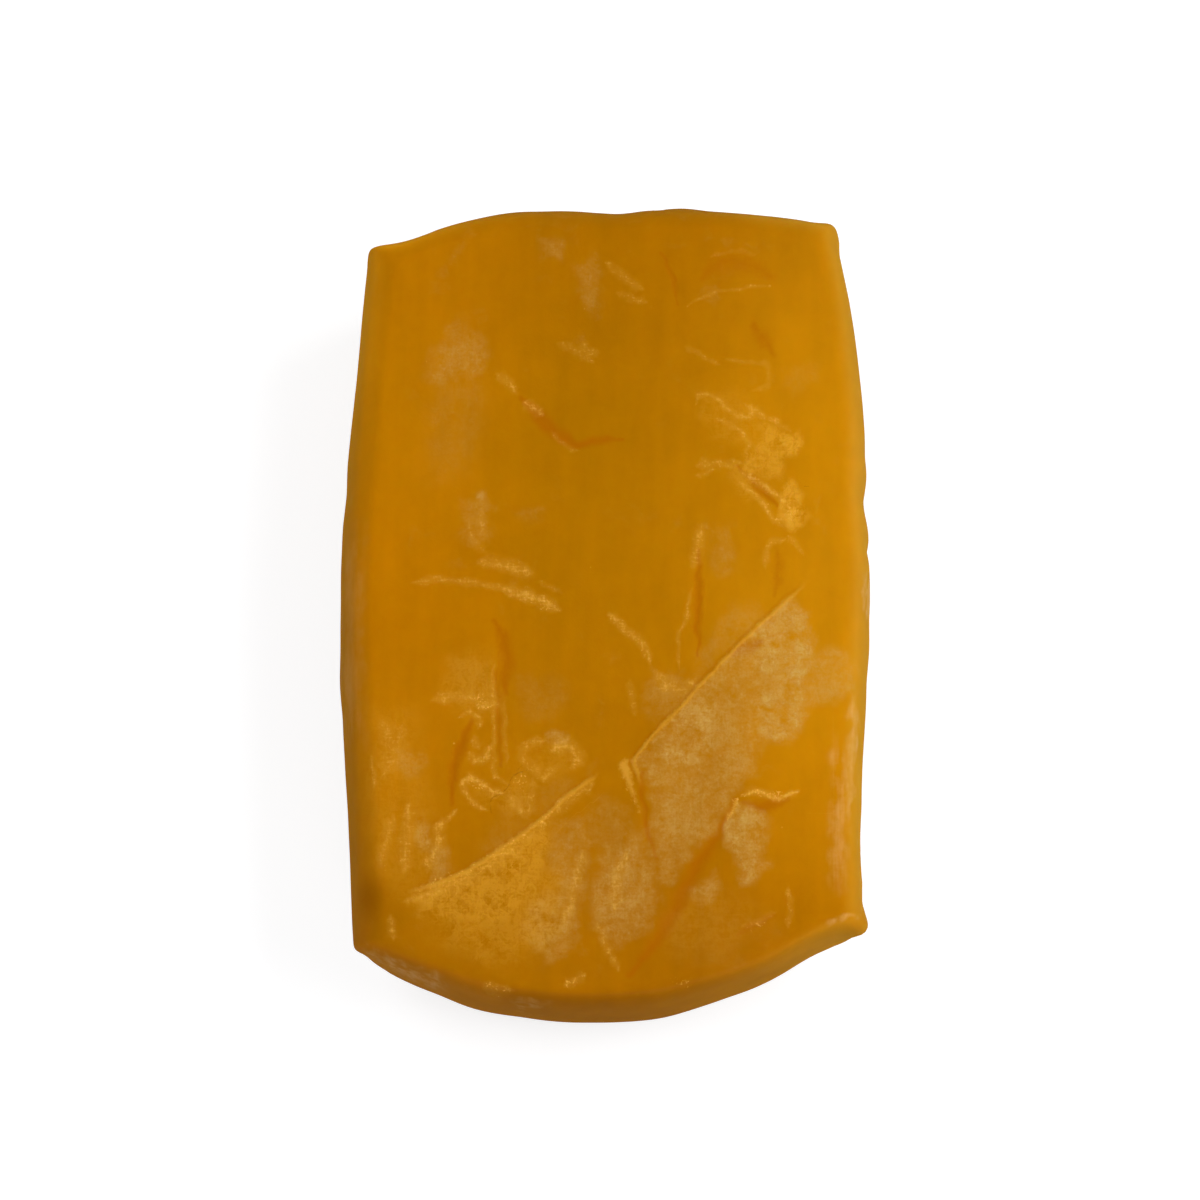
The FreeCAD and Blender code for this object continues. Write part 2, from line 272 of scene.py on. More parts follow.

# %% [markdown]
# ### Grooves
#
# Smaller creases of the film stand in the cheese as soft grooves. The cheese in them was never rubbed
# dry, so it is clearer, and the grooves are painted a deeper, darker orange than the skin around them:
# partly their own colour and partly painted shade in the crease. Each has a width and a depth in
# millimetres, and a strength of that painted colour.

# %% Soft grooves
GROOVES = {
    "long_crease": ([(19.8, -33), (17.3, -38.5), (14.2, -43), (11.5, -48), (9, -53), (3.6, -60)],
                    2.7, 0.36, 0.85),
    "hooked_crease": ([(-13.2, 30.5), (-10.4, 27.8), (-7.6, 24.8), (-4.6, 23), (-2, 23.6)], 2.3, 0.20, 1.1),
    "hook_end": ([(-5.6, 23.2), (-2, 23.4), (2.6, 24)], 1.7, 0.12, 0.9),
    "upright_crease": ([(14.6, 6), (14.6, 0), (14.2, -5), (14.4, -10.5)], 1.5, 0.22, 0.9),
    "left_crease": ([(-17.4, -5), (-16, -7.5), (-15.3, -11), (-15.3, -16.5)], 2.6, 0.16, 0.8),
    "low_crease": ([(-20.6, -20.5), (-21.8, -24), (-23.2, -28.5), (-23.4, -33.5)], 2.0, 0.20, 1.0),
    "far_crease": ([(8.9, 54.5), (10.2, 52), (11, 49), (11.2, 46)], 1.3, 0.14, 0.7),
    "far_arch": ([(15.6, 50.5), (17, 52.2), (20, 53), (23.4, 52.4), (26.2, 50.6)], 4.4, 0.12, 0.5),
    "right_dimple": ([(23.4, 42.4), (26.4, 38)], 3.2, 0.10, 0.6),
    "right_slots": ([(20.6, 19.6), (23.4, 17), (26.8, 13.2)], 1.7, 0.16, 0.8),
    "right_hollow": ([(26.6, 6.5), (26.9, 2.5), (26.2, -1)], 2.2, 0.14, 0.5),
    "short_shade": ([(21.4, -33.6), (24, -34.0), (28, -33)], 2.2, 0.15, 0.9),
    "pocket": ([(19.6, -10.2), (22, -9.4), (24.4, -8.2)], 2.6, 0.15, 0.9),
    "fold_shade": ([(5.6, -28.5), (5.8, -33), (6.4, -37), (7.8, -42)], 1.1, 0.12, 0.9),
    "near_tear": ([(20, -53.6), (23, -52), (26, -50.6)], 1.4, 0.12, 0.7),
    "dotted_core": ([(-16.6, -10), (-16.3, -20), (-16.0, -28)], 1.3, 0.08, 0.6),
}

# %% [markdown]
# ### Pale lines
#
# Rubbed edges of small wrinkles are lighter than the skin, as a scratched candle is. They wander, and
# break up into grains. Each line has a width and a strength.

# %% Wandering pale lines
PALE_LINES = {
    "right_thread": ([(12.5, 39), (15.5, 37.4), (18, 36)], 0.7, 0.35),
    "right_hook": ([(19, 37), (22, 36.4), (25.5, 36), (25.2, 32.8), (23, 31.8)], 0.8, 0.35),
    "right_wave": ([(14, 29.6), (14.6, 31), (17, 30.8), (19, 29), (21, 27.8), (22.6, 27.4), (23, 29.4)],
                   0.8, 0.6),
    "right_wave_low": ([(17.6, 27), (20.6, 25.8), (22.4, 23.8), (22, 21.8)], 0.8, 0.55),
    "right_fork": ([(22, 29.8), (24.2, 28), (26.5, 27), (29, 25.6)], 1.0, 0.55),
    "right_dash": ([(14.2, 18.2), (17, 18.7)], 0.8, 0.5),
    "right_dashes": ([(14.4, 19.8), (18, 19.9), (21, 20.2)], 1.5, 0.5),
    "slot_top": ([(21.8, 18.4), (24.6, 16.6), (27.4, 14.4), (29, 12.6)], 1.1, 0.8),
    "slot_low": ([(21, 17), (23.6, 14.8), (25.4, 12.4), (26.6, 10.6)], 0.9, 0.8),
    "slot_end": ([(26.4, 10.6), (28.4, 11.4), (29.6, 14)], 1.4, 0.7),
    "oval_left": ([(25, 3.4), (25, 5.6), (26.4, 7.8), (28, 8.2)], 0.8, 0.6),
    "oval_right": ([(28.4, 8.4), (29.8, 7), (30.8, 5.6)], 0.8, 0.4),
    "crease_head": ([(15.2, 9.8), (14.6, 7.6), (14.2, 5), (13.6, 3.4)], 1.5, 0.6),
    "crease_edge": ([(13.4, 0), (12.6, -5), (11.4, -8), (11.2, -12.5)], 0.7, 0.5),
    "upper_arc": ([(-19.6, 4.2), (-16.8, 4), (-14, 3.2), (-11.4, 2.4)], 1.9, 0.7),
    "upper_tail": ([(-10, 0.8), (-7.6, -0.2)], 0.7, 0.3),
    "lower_arc": ([(-29.8, 1), (-26, 1.6), (-22.5, 1.2), (-18.8, 0.8), (-14.6, -0.4)], 1.1, 0.55),
    "lower_arc_end": ([(-16, 0), (-14.6, -0.4), (-11, -1.6), (-6.8, -3.4)], 1.6, 0.9),
    "spot_streak": ([(-19.4, 12), (-19.8, 9.4), (-19.2, 6)], 2.4, 0.25),
    "dotted_left": ([(-17.3, -12), (-17.0, -18), (-16.9, -24), (-16.9, -29), (-14.8, -30.6)], 0.8, 0.5),
    "dotted_right": ([(-15.6, -18), (-15.4, -22), (-15.2, -27)], 0.8, 0.4),
    "grain_edge": ([(-26.5, -17.4), (-22, -17), (-18.6, -18.2), (-16.2, -18.4)], 1.6, 0.6),
    "small_arc": ([(-22.6, -20.2), (-21, -19.4), (-19.4, -20.4), (-19.8, -22)], 0.9, 0.6),
    "bean": ([(-21, -25.8), (-19.8, -27), (-18.2, -26.4), (-17.2, -24.6)], 1.5, 0.7),
    "bean_top": ([(-20, -23.4), (-19.2, -25)], 1.5, 0.5),
    "wreath": ([(-9, -23.8), (-11.8, -24.4), (-12.6, -26.4), (-11.2, -28.4), (-9, -29.4), (-7.4, -27.8)],
               1.5, 0.45),
    "wreath_end": ([(-7.8, -25.2), (-5.8, -24.6), (-4.4, -26.2), (-5, -28)], 2.2, 0.65),
    "leaf_top": ([(-22, -29.8), (-19.8, -30), (-17.4, -31.6), (-15.8, -32.2)], 1.3, 1.0),
    "leaf_low": ([(-22, -29.8), (-21.2, -32), (-19.4, -34), (-18, -34.6)], 0.9, 0.8),
    "leaf_right": ([(-15.4, -32), (-13.6, -34), (-12.4, -35.2), (-11.2, -33.6), (-11.2, -30)], 1.1, 0.5),
    "middle_stroke": ([(0.4, -4), (3.4, -6.6), (6, -9.2), (7, -12)], 1.3, 0.6),
    "middle_curl": ([(8, -13.2), (9.4, -15.4), (12, -15.6), (14, -14.6)], 1.8, 0.5),
    "middle_dots": ([(3.6, -14.5), (4.4, -17.5), (4.6, -20)], 0.9, 0.35),
    "short_ridge": ([(21, -32.2), (23.6, -31.8), (26.4, -32.8), (29.6, -31.6)], 1.0, 1.0),
    "ridge_corner": ([(20.4, -33), (19.6, -34.6), (18.8, -36)], 1.1, 0.9),
    "left_upright": ([(-36, -26), (-35.4, -31)], 0.8, 0.6),
    "left_brush_a": ([(-32.6, -35.5), (-33.6, -39), (-34.4, -42.5)], 1.6, 0.5),
    "left_brush_b": ([(-30, -34), (-30.2, -39), (-30.8, -44)], 1.8, 0.55),
    "left_brush_c": ([(-25, -36), (-25.6, -40), (-27.2, -44)], 1.7, 0.75),
    "left_brush_d": ([(-22.6, -34.4), (-24.6, -36.4)], 0.9, 0.7),
    "left_rub_a": ([(-34.2, -21), (-32.6, -25), (-33.8, -29)], 2.6, 0.4),
    "left_rub_b": ([(-31.4, -21.4), (-31.8, -27)], 1.8, 0.3),
    "star_stroke": ([(-7.4, 39.4), (-4.4, 38.4), (-2, 36.6)], 1.4, 0.4),
    "star_arm": ([(-3.6, 39.6), (-3, 38), (-1.2, 38.2)], 1.6, 0.4),
    "hook_head": ([(-17, 34.4), (-15, 32.8), (-13.8, 31.4)], 1.4, 0.5),
    "hook_step": ([(-12.6, 29.8), (-10, 28)], 1.4, 0.7),
    "hook_rim": ([(-8.4, 25.2), (-6, 22.6), (-4, 22)], 0.9, 0.3),
    "far_stroke": ([(0.2, 53), (2.4, 51), (5.8, 48.4)], 1.4, 0.4),
    "far_stroke_low": ([(2, 47.8), (6.4, 46.4)], 1.4, 0.35),
    "far_thin": ([(12.8, 45.8), (15.4, 47.2), (18, 48), (23, 49), (26, 49)], 0.6, 0.36),
    "far_top": ([(16.8, 53.9), (20.4, 54.9), (24, 54.4)], 0.7, 0.22),
    "near_upright": ([(28, -46.5), (28.2, -50), (27.8, -52.5)], 1.0, 0.45),
    "near_left_mark": ([(-32.6, -51), (-32.2, -54.4)], 1.5, 0.6),
    "near_hatch": ([(-18.4, -61.4), (-14, -62)], 1.2, 0.5),
    "near_hatch_right": ([(-6.2, -61.2), (-3, -60.0)], 1.4, 0.6),
    "near_scrape": ([(21, -52.4), (24, -51.4), (26, -50.2)], 0.9, 0.3),
    "near_crumb_line": ([(-1, -52), (0.4, -56), (2, -59)], 1.4, 0.5),
    "fold_rub": ([(-30, -48.2), (-24, -46.4), (-18, -43.2), (-12, -39.2)], 2.4, 0.5),
    "fold_rub_end": ([(-12, -39.2), (-7, -34.6), (-2, -30.6)], 1.6, 0.5),
    "low_wisp": ([(-3.4, -41), (-4.6, -46), (-6.2, -52)], 1.4, 0.45),
    "veil_wisp": ([(3, -41.5), (1.6, -46), (1.4, -50)], 1.8, 0.5),
}

# %% [markdown]
# ### Bloom
#
# Cheese that dries under film gets a thin pale bloom. It lies thickest beside the folds, where the
# film stood off the cheese, and stops sharply where the film clung. Each patch is an outline with a
# softness of its edge and a strength. Patches that end at a fold may only lie on one side of it.

# %% Patches of bloom
BELOW_FOLDS = 1
BEYOND_FOLDS = -1
ANYWHERE = 0
BLOOM = {
    "beside_fold": ([(4, -25.5), (12.4, -17.6), (17, -12), (23, -5.6), (29, 0), (31.6, -9), (37.2, -9.6),
                     (38, -14), (31, -20.6), (24.4, -26), (20, -31.4), (17, -37), (12.6, -42.4),
                     (8.6, -46), (7.4, -39), (6.8, -32)], 2.0, 0.32, BELOW_FOLDS),
    "brightest": ([(22, -5.6), (29, -1.6), (31.6, -9), (30.6, -15), (26, -14.6), (23, -10.6)],
                  2.0, 0.62, BELOW_FOLDS),
    "second": ([(23, -16.4), (31, -15), (30.4, -20.4), (26.6, -24), (23.6, -23)], 2.6, 0.58, BELOW_FOLDS),
    "third": ([(7, -25.4), (13.6, -17.2), (17, -20), (15, -27), (11, -28)], 2.6, 0.55, BELOW_FOLDS),
    "low_middle": ([(13, -29), (19, -27), (18.4, -33), (13.4, -39), (9, -41), (8.6, -34)],
                   3.0, 0.34, BELOW_FOLDS),
    "beyond_crease": ([(20, -34.4), (24, -34.8), (25.4, -38), (24, -43.4), (21.6, -46.6), (19.6, -41.6),
                       (18.6, -38)], 2.0, 0.55, ANYWHERE),
    "under_flap": ([(0, -40), (3.4, -38), (6.4, -38.4), (7.4, -44), (7.6, -49.6), (5, -53), (0.6, -54.6),
                    (-2, -50), (-0.6, -45)], 3.0, 0.34, ANYWHERE),
    "under_flap_top": ([(-1, -33), (4, -36), (6, -39), (1, -42), (-3, -38)], 3.0, 0.15, BELOW_FOLDS),
    "under_flap_left": ([(-8, -38), (-4, -36.6), (-2.4, -41), (-3.4, -48), (-6.6, -47), (-8.6, -42)],
                        3.4, 0.28, BELOW_FOLDS),
    "low_left": ([(-10.6, -48), (-6, -47.4), (-4.6, -52), (-7, -58), (-11, -56), (-12, -51.6)],
                 3.4, 0.34, ANYWHERE),
    "near_middle": ([(9, -50), (15, -47), (22, -49), (27, -54), (20, -58), (12, -57)], 5.0, 0.04, ANYWHERE),
    "small_near": ([(12.4, -46.6), (16, -45), (17.4, -47.4), (14.6, -49.6)], 2.0, 0.3, ANYWHERE),
    "triangle": ([(-23, 44), (-18.6, 37.6), (-19.6, 34.6), (-27.6, 33.6)], 3.0, 0.24, ANYWHERE),
    "triangle_tail": ([(-25, 34), (-19, 32), (-21, 20), (-26.4, 17), (-28, 26)], 5.0, 0.08, ANYWHERE),
    "far_spot": ([(-10.6, 57), (-7.6, 56.6), (-7, 53.6), (-9.6, 53.8)], 1.6, 0.2, ANYWHERE),
    "far_spot_low": ([(-4.6, 53), (-1.6, 54), (-0.8, 50), (-1.6, 45.6), (-3.6, 47.6)], 2.6, 0.2, ANYWHERE),
    "right_veil": ([(29, 34.4), (32.6, 37), (33.6, 34), (30, 31.6)], 2.6, 0.08, ANYWHERE),
    "fold_veil": ([(18, -5), (21, -3), (24.6, -3), (24, -6), (16, -12), (12.4, -17), (10, -19), (14, -12)],
                  3.0, 0.17, BEYOND_FOLDS),
    "curl_veil": ([(7, -13), (12, -14), (15, -15), (9, -21), (6, -18)], 2.6, 0.18, BEYOND_FOLDS),
    "crease_veil": ([(15.4, 10), (19.4, 9.6), (20, 4), (16.6, 3.6)], 2.4, 0.16, ANYWHERE),
    "bright_spot": ([(-20.2, 15.8), (-19, 15.8), (-18.7, 14.2), (-19.7, 14)], 1.2, 0.42, ANYWHERE),
    "streak_veil": ([(-22.6, 14), (-19, 14), (-18.8, 9), (-21.6, 8.6)], 2.4, 0.15, ANYWHERE),
    "grain_patch": ([(-25, -12), (-20, -10.6), (-17, -16), (-17, -18.6), (-21.4, -18.4), (-22, -15.6)],
                    2.0, 0.05, ANYWHERE),
    "left_bloom": ([(-31.6, -25.6), (-28.6, -25), (-27, -28), (-30.4, -29)], 1.6, 0.18, ANYWHERE),
    "left_bloom_low": ([(-28.4, -36), (-26.4, -36.4), (-26.6, -40), (-28.8, -39)], 1.6, 0.35, ANYWHERE),
    "left_bloom_end": ([(-26.6, -41), (-24.4, -40.4), (-24, -44.6), (-26.2, -45.4)], 1.6, 0.24, ANYWHERE),
    "wreath_dot": ([(-8.4, -22.8), (-6.2, -22.6), (-6.0, -24.4), (-8, -24.6)], 1.2, 0.4, ANYWHERE),
    "middle_veil": ([(-13, -15), (-8, -13.6), (-6, -19), (-11, -20)], 3.2, 0.09, ANYWHERE),
    "low_veil": ([(-14, -32), (-6, -30), (-6, -36), (-12, -40), (-19, -42)], 3.2, 0.08, BEYOND_FOLDS),
    "arc_blots": ([(-13.5, 12), (-9.6, 13.4), (-10, 11), (-12.6, 10)], 1.6, 0.09, ANYWHERE),
}

# %% [markdown]
# ### Rubbed patches
#
# Elsewhere the film rubbed the skin instead. There the cheese is not tan but a lighter, crumbly
# yellow, and it cracked into cells as it dried. These patches have the same four values as the bloom.

# %% Rubbed patches
RUBBED = {
    "crackled": ([(-31, -47.6), (-21, -42.8), (-14, -38.6), (-9, -38.6), (-10, -46), (-16, -52),
                  (-24, -51.6), (-28.6, -49)], 3.4, 0.46, BELOW_FOLDS),
    "crackled_low": ([(-27, -50), (-18, -48), (-8, -44), (-8, -55), (-17, -58), (-24, -55)],
                     5.0, 0.3, ANYWHERE),
    "right_blot": ([(27.6, 25.4), (30.2, 25.6), (30.6, 22), (28, 21)], 1.3, 0.65, ANYWHERE),
    "right_blot_low": ([(21.6, 22.6), (24.4, 22), (24.6, 18.6), (21.4, 19.4)], 1.3, 0.5, ANYWHERE),
    "right_cluster": ([(24, 26.6), (27.6, 26), (28.4, 20), (25.4, 18.4), (23.8, 21.6)], 2.0, 0.5, ANYWHERE),
    "right_blotch": ([(27.6, 17.6), (30.4, 16), (31.4, 11), (29, 9), (27.4, 11.6), (27.2, 14.6)],
                     1.4, 0.62, ANYWHERE),
    "right_blotch_left": ([(19, 20), (23, 19), (24, 15), (20.6, 16)], 2.0, 0.26, ANYWHERE),
    "grain_rub": ([(-24, -11), (-19, -10), (-16.8, -14), (-16.8, -19), (-23, -19), (-25, -15.6)],
                  4.0, 0.24, ANYWHERE),
    "left_rub": ([(-36, -19), (-29.6, -20), (-28, -30), (-26, -44), (-34, -46), (-36.4, -33)],
                 5.0, 0.15, ANYWHERE),
    "leaf_rub": ([(-21.6, -30.4), (-17, -31.6), (-13, -28), (-11, -31), (-13, -34.6), (-19, -33.6)],
                 2.4, 0.24, BEYOND_FOLDS),
    "wreath_rub": ([(-12.6, -24), (-5, -24), (-4.4, -28), (-10, -29.4)], 3.0, 0.16, ANYWHERE),
    "near_rub": ([(10, -49), (16, -48), (22, -51), (18, -55), (10, -56)], 5.0, 0.1, ANYWHERE),
    "far_rub": ([(14, 32), (22, 30), (24, 24), (18, 24)], 3.0, 0.16, ANYWHERE),
}

# %% [markdown]
# ### Films of fat and painted sheen, cracks, pinholes, crumbs and painted glints
#
# Last come the smallest things: strips of pinkish fat where the film was stretched over the edges,
# which also carry painted highlights and sheen along the rim and the ear, hair cracks, pinholes left
# by gas, places where the skin is roughened into tiny bright crumbs, which are partly painted glints,
# and single painted glints.

# %% Small marks
# Strips of pinkish fat that also carry painted highlights and sheen: those at the right edge, the right rim
# and the ear are painted highlights.
FILM_AND_SHEEN_STRIPS = {
    "near_left_rim": ([(-37, -55), (-33.6, -57), (-29.6, -59), (-25, -60.6)], 1.6, 0.4),
    "near_rim": ([(-14, -63.4), (-11, -63.6), (-8.6, -63.6)], 1.0, 0.24),
    "right_rim": ([(36.2, -24), (36.0, -34), (35.6, -46)], 3.6, 0.6),
    "right_rim_edge": ([(38.6, -16), (38.0, -26), (37.6, -36)], 1.6, 0.7),
    "right_edge": ([(41.0, 3.4), (41.2, 0), (41.0, -3)], 1.4, 1.0),
    "ear_streak": ([(40.0, -38), (40.4, -43), (40.8, -47)], 1.1, 0.9),
    "ear_lip": ([(41, -47.4), (39.8, -49.6), (37.4, -50.6), (34, -52)], 0.9, 0.7),
    "left_band": ([(-38.6, 10), (-39.6, -2), (-39.4, -14), (-38.4, -24)], 4.6, 0.25),
}
CRACKS = {
    "forked": ([(-12, -28.6), (-14, -29.2), (-14.8, -31), (-15.6, -32.2)], 0.3, 1.0),
    "forked_end": ([(-15.6, -32.2), (-17.2, -32.8), (-17.6, -35.5)], 0.3, 1.0),
    "forked_side": ([(-14.2, -29.2), (-12.4, -27.4)], 0.26, 0.7),
    "arc_hair": ([(-18, 4.6), (-14.6, 4.0), (-12, 3.2)], 0.26, 0.5),
    "lower_hair": ([(-13.6, -0.4), (-11, -1.4), (-9, -2.4)], 0.26, 0.6),
    "near_dash": ([(31, 16.6), (31.8, 16.6)], 0.3, 0.8),
    "flap_edge": ([(1.4, -27.2), (2.6, -31), (5.0, -35.6)], 0.3, 0.5),
    "fold_hair": ([(-26, -45.6), (-22, -44.4), (-19, -45.4)], 0.26, 0.5),
}
PINHOLES = [(-22.5, -0.2), (-2.4, 2.6), (15, 29.6), (26.6, -53.2), (17.4, -22.2), (13, 26.4), (20.8, -42.4)]
# Single glints, painted as highlights.
GLINTS = [(-28, 36.6), (27, -37.2), (23, 49.2), (26, 49.1), (-2.9, 21), (-2.2, 3.4), (-19.4, 16),
          (32.4, -49.8), (-23.2, -24.2), (31, -31.4), (33, -7.4), (-3.2, 45.4)]
# Bright crumbs, which are partly painted glints on the roughened skin.
CRUMBS_AND_GLINTS = {
    "leaf": ([(-21.6, -30), (-17.4, -31.6)], 2.4, 1.0),
    "fork": ([(-13.4, -28), (-12, -31)], 3.0, 0.8),
    "grain": ([(-21, -17.4), (-17, -18.6)], 3.0, 1.0),
    "slots": ([(22, 18), (25, 13.4), (28, 9.6)], 3.0, 0.7),
    "short_ridge": ([(19, -35.6), (20.4, -32.6), (24, -32), (29, -32)], 1.8, 1.0),
    "near_upright": ([(28, -46.5), (27.8, -52.5)], 1.6, 0.7),
    "near_pair": ([(21, -53.4), (25.6, -51.4)], 2.4, 0.75),
    "near_middle": ([(9, -60.6), (13.4, -60.8)], 2.4, 0.8),
    "near_left": ([(-18.4, -61.4), (-14, -62)], 1.8, 0.9),
    "near_hatch": ([(-6.2, -61.4), (-3, -60.2)], 2.2, 0.9),
    "left_fold": ([(-31, -47.4), (-18.3, -42.3), (-10.7, -37), (-3, -30.6)], 1.8, 0.85),
    "left_side": ([(-34, -38), (-35, -46)], 3.6, 0.5),
    "brushes": ([(-30.4, -38), (-30.8, -44)], 3.0, 0.5),
    "right_fork": ([(22.4, 24), (22, 20)], 2.6, 0.6),
    "arc_end": ([(-13, -1), (-7, -3.4)], 2.0, 0.8),
    "flap": ([(2, -27.4), (4.4, -34)], 1.6, 0.7),
}
named = [GROOVES, PALE_LINES, BLOOM, RUBBED, FILM_AND_SHEEN_STRIPS, CRACKS, CRUMBS_AND_GLINTS]
print(sum(len(family) for family in named), "hand-placed marks")

# %% [markdown]
# ## Finer faces beside the marks
#
# Half a millimetre between points is fine enough for the swells of the top, and too coarse for a crease
# a millimetre wide. Halving it everywhere would make four times the faces. So only the faces near a
# crisp mark are split, and the rest stay as they are.

# %% Split the faces beside crisp marks
CRISP_REACH = 1.0
TOP_FLOOR = 30

mesh.vertices.foreach_set("co", smooth.astype(np.float32).ravel())
mesh.update()
crisp_lines = [LEFT_FOLD, RIGHT_FOLD, FLAP, FLAP_SEAM]
for family in (GROOVES, PALE_LINES, CRACKS):
    crisp_lines += [knots for knots, *_ in family.values()]


def near_lines(places, lines, reach):
    """True for each point of the top that lies within reach of one of the lines."""
    found = np.zeros(len(places), bool)
    for knots in lines:
        low = np.min(knots, 0) - reach
        high = np.max(knots, 0) + reach
        boxed = np.all((places[:, :2] > low) & (places[:, :2] < high), 1) & (places[:, 2] > TOP_FLOOR)
        chosen = np.nonzero(boxed & ~found)[0]
        found[chosen] = to_line(places[chosen, :2], knots)[0] < reach
    return found


close = near_lines(smooth, crisp_lines, CRISP_REACH)
work = bmesh.new()
work.from_mesh(mesh)
work.verts.ensure_lookup_table()
chosen_edges = [edge for edge in work.edges if close[edge.verts[0].index] and close[edge.verts[1].index]]
bmesh.ops.subdivide_edges(work, edges=chosen_edges, cuts=1, use_grid_fill=True)
bmesh.ops.triangulate(work, faces=[face for face in work.faces if len(face.verts) > 4])
bmesh.ops.recalc_face_normals(work, faces=work.faces)
work.to_mesh(mesh)
work.free()
mesh.update()
count = len(mesh.vertices)
print(count, "points and", sum(len(p.vertices) - 2 for p in mesh.polygons), "triangles after the split")

# %% [markdown]
# ## From marks to fields of numbers
#
# A field is one number at each point of the mesh. A line's field is 1 on the line and falls to 0 at its
# edge, like a ridged roof, and goes on falling outside. Blender blends the numbers over each face, so
# the material can cut the field at any height, and noise added first gives a ragged edge. No mark of a
# hand or a film is smooth, so the plan is pushed about by noise before the marks are measured in it.
# Marks lie on the top alone. Only the films, with their painted sheen, and the crumbs also lie over
# the rim, and fade out down the wall.

# %% Points, directions and a wandering plan
PUSH_SEED = 2
PUSH_BROAD = 1.3
PUSH_FINE = 0.9

place = np.empty(count * 3, np.float32)
mesh.vertices.foreach_get("co", place)
place = place.reshape(-1, 3).astype(float)
facing = np.empty(count * 3, np.float32)
mesh.vertex_normals.foreach_get("vector", facing)
facing = facing.reshape(-1, 3).astype(float)


def push(size, offset):
    """A wandering direction at each point, in features of that size, each part between -1 and 1."""
    shift = Vector((offset, -offset, 2 * offset))
    return np.array([noise.noise_vector(Vector(p) / size + shift)[:2] for p in place.tolist()])


noise.seed_set(PUSH_SEED)
broad_push = PUSH_BROAD * push(6.0, 1.3)
fine_push = PUSH_FINE * push(1.9, 5.9)
line_plan = place[:, :2] + 0.5 * fine_push
patch_plan = place[:, :2] + broad_push + 1.2 * fine_push
print(f"patches wander by up to {np.abs(patch_plan - place[:, :2]).max():.1f} mm")

# %% Roof-shaped fields
LOWEST = -1.0
RIM_FLOOR = 16
RIM_FULL = 30


def on_top(knots, reach, floor=TOP_FLOOR):
    """The points above the floor's height that lie in the box round the knots."""
    low = np.min(knots, 0) - reach
    high = np.max(knots, 0) + reach
    boxed = np.all((place[:, :2] > low) & (place[:, :2] < high), 1)
    return np.nonzero(boxed & (place[:, 2] > floor))[0]


def roof(lines, taper=0.12):
    """The highest roof of a list of lines, each with a width and a strength."""
    field = np.full(count, LOWEST)
    for knots, width, strength in lines:
        chosen = on_top(knots, width * 1.5 + 1)
        distance, share, _ = to_line(line_plan[chosen], knots)
        thin = 0.4 + 0.6 * smooth_step(0, taper, share) * smooth_step(0, taper, 1 - share)
        value = 1 - distance / (width / 2 * thin)
        value = np.where(value > 0, value * strength, value)
        field[chosen] = np.maximum(field[chosen], np.maximum(value + (strength - 1) * 0.4, LOWEST))
    return field


def spread(lines):
    """The strongest of a list of soft bands, each with a width and a strength, fading down the wall."""
    field = np.zeros(count)
    for knots, width, strength in lines:
        chosen = on_top(knots, width, RIM_FLOOR)
        distance, share, _ = to_line(patch_plan[chosen] - broad_push[chosen] * 0.7, knots)
        ends = smooth_step(0, 0.12, share) * smooth_step(0, 0.12, 1 - share)
        value = strength * (1 - smooth_step(width * 0.15, width * 0.6, distance)) * (0.3 + 0.7 * ends)
        value *= smooth_step(RIM_FLOOR, RIM_FULL, place[chosen, 2])
        field[chosen] = np.maximum(field[chosen], value)
    return field


def dots(places, radius):
    """A small cone at each place."""
    field = np.full(count, LOWEST)
    for x, y in places:
        distance = np.hypot(place[:, 0] - x, place[:, 1] - y)
        value = np.where(place[:, 2] > TOP_FLOOR, 1 - distance / radius, LOWEST)
        field = np.maximum(field, np.maximum(value, LOWEST))
    return field


groove_and_shade = roof([(knots, width, strength) for knots, width, depth, strength in GROOVES.values()], 0.35)
pale = roof(PALE_LINES.values())
film_and_sheen = spread(FILM_AND_SHEEN_STRIPS.values())
crumbs_and_glints = spread(CRUMBS_AND_GLINTS.values())
crack = roof(CRACKS.values())
pin = dots(PINHOLES, 0.3)
glint = dots(GLINTS, 0.35)
print("share of the points with film:", round(float((film_and_sheen > 0.1).mean()), 3))

# %% The folds' own fields
FOLD_REACH = 3.0


def fold_fields(knots):
    """The signed distance to a fold's crest, and how strong the fold is, 0 to 1, at each point."""
    gap = np.full(count, FOLD_REACH)
    strength = np.zeros(count)
    chosen = on_top(knots, FOLD_REACH)
    distance, share, side = to_line(place[chosen, :2] + 0.25 * fine_push[chosen], knots)
    gap[chosen] = np.minimum(distance, FOLD_REACH) * np.where(side < 0, -1, 1)
    strength[chosen] = smooth_step(0, 0.14, share) * smooth_step(0, 0.1, 1 - share)
    return gap, strength


left_gap, left_strength = fold_fields(LEFT_FOLD)
right_gap, right_strength = fold_fields(RIGHT_FOLD)
nearer_left = np.abs(left_gap) < np.abs(right_gap)
fold_gap = np.where(nearer_left, left_gap, -right_gap)
fold_strength = np.where(nearer_left, left_strength, right_strength)
left_share = np.where(nearer_left, left_strength, 0)
print("fold crest reaches", int((np.abs(fold_gap) < 0.3).sum()), "points")

# %% [markdown]
# ### Bloom stops at the folds
#
# A fold kept the film off the cheese on one side only, so the patches there end along its crest. The
# side of the folds is the side of a long path through both, from the left edge to the right edge.

# %% Fields of the patches
FOLD_PATH = [(-45, -50), *LEFT_FOLD, *RIGHT_FOLD[FOLDS_MEET::-1], (45, 14)]
SHARP = 0.35

path_gap, _, path_side = to_line(place[:, :2], FOLD_PATH)
path_gap = path_gap * path_side


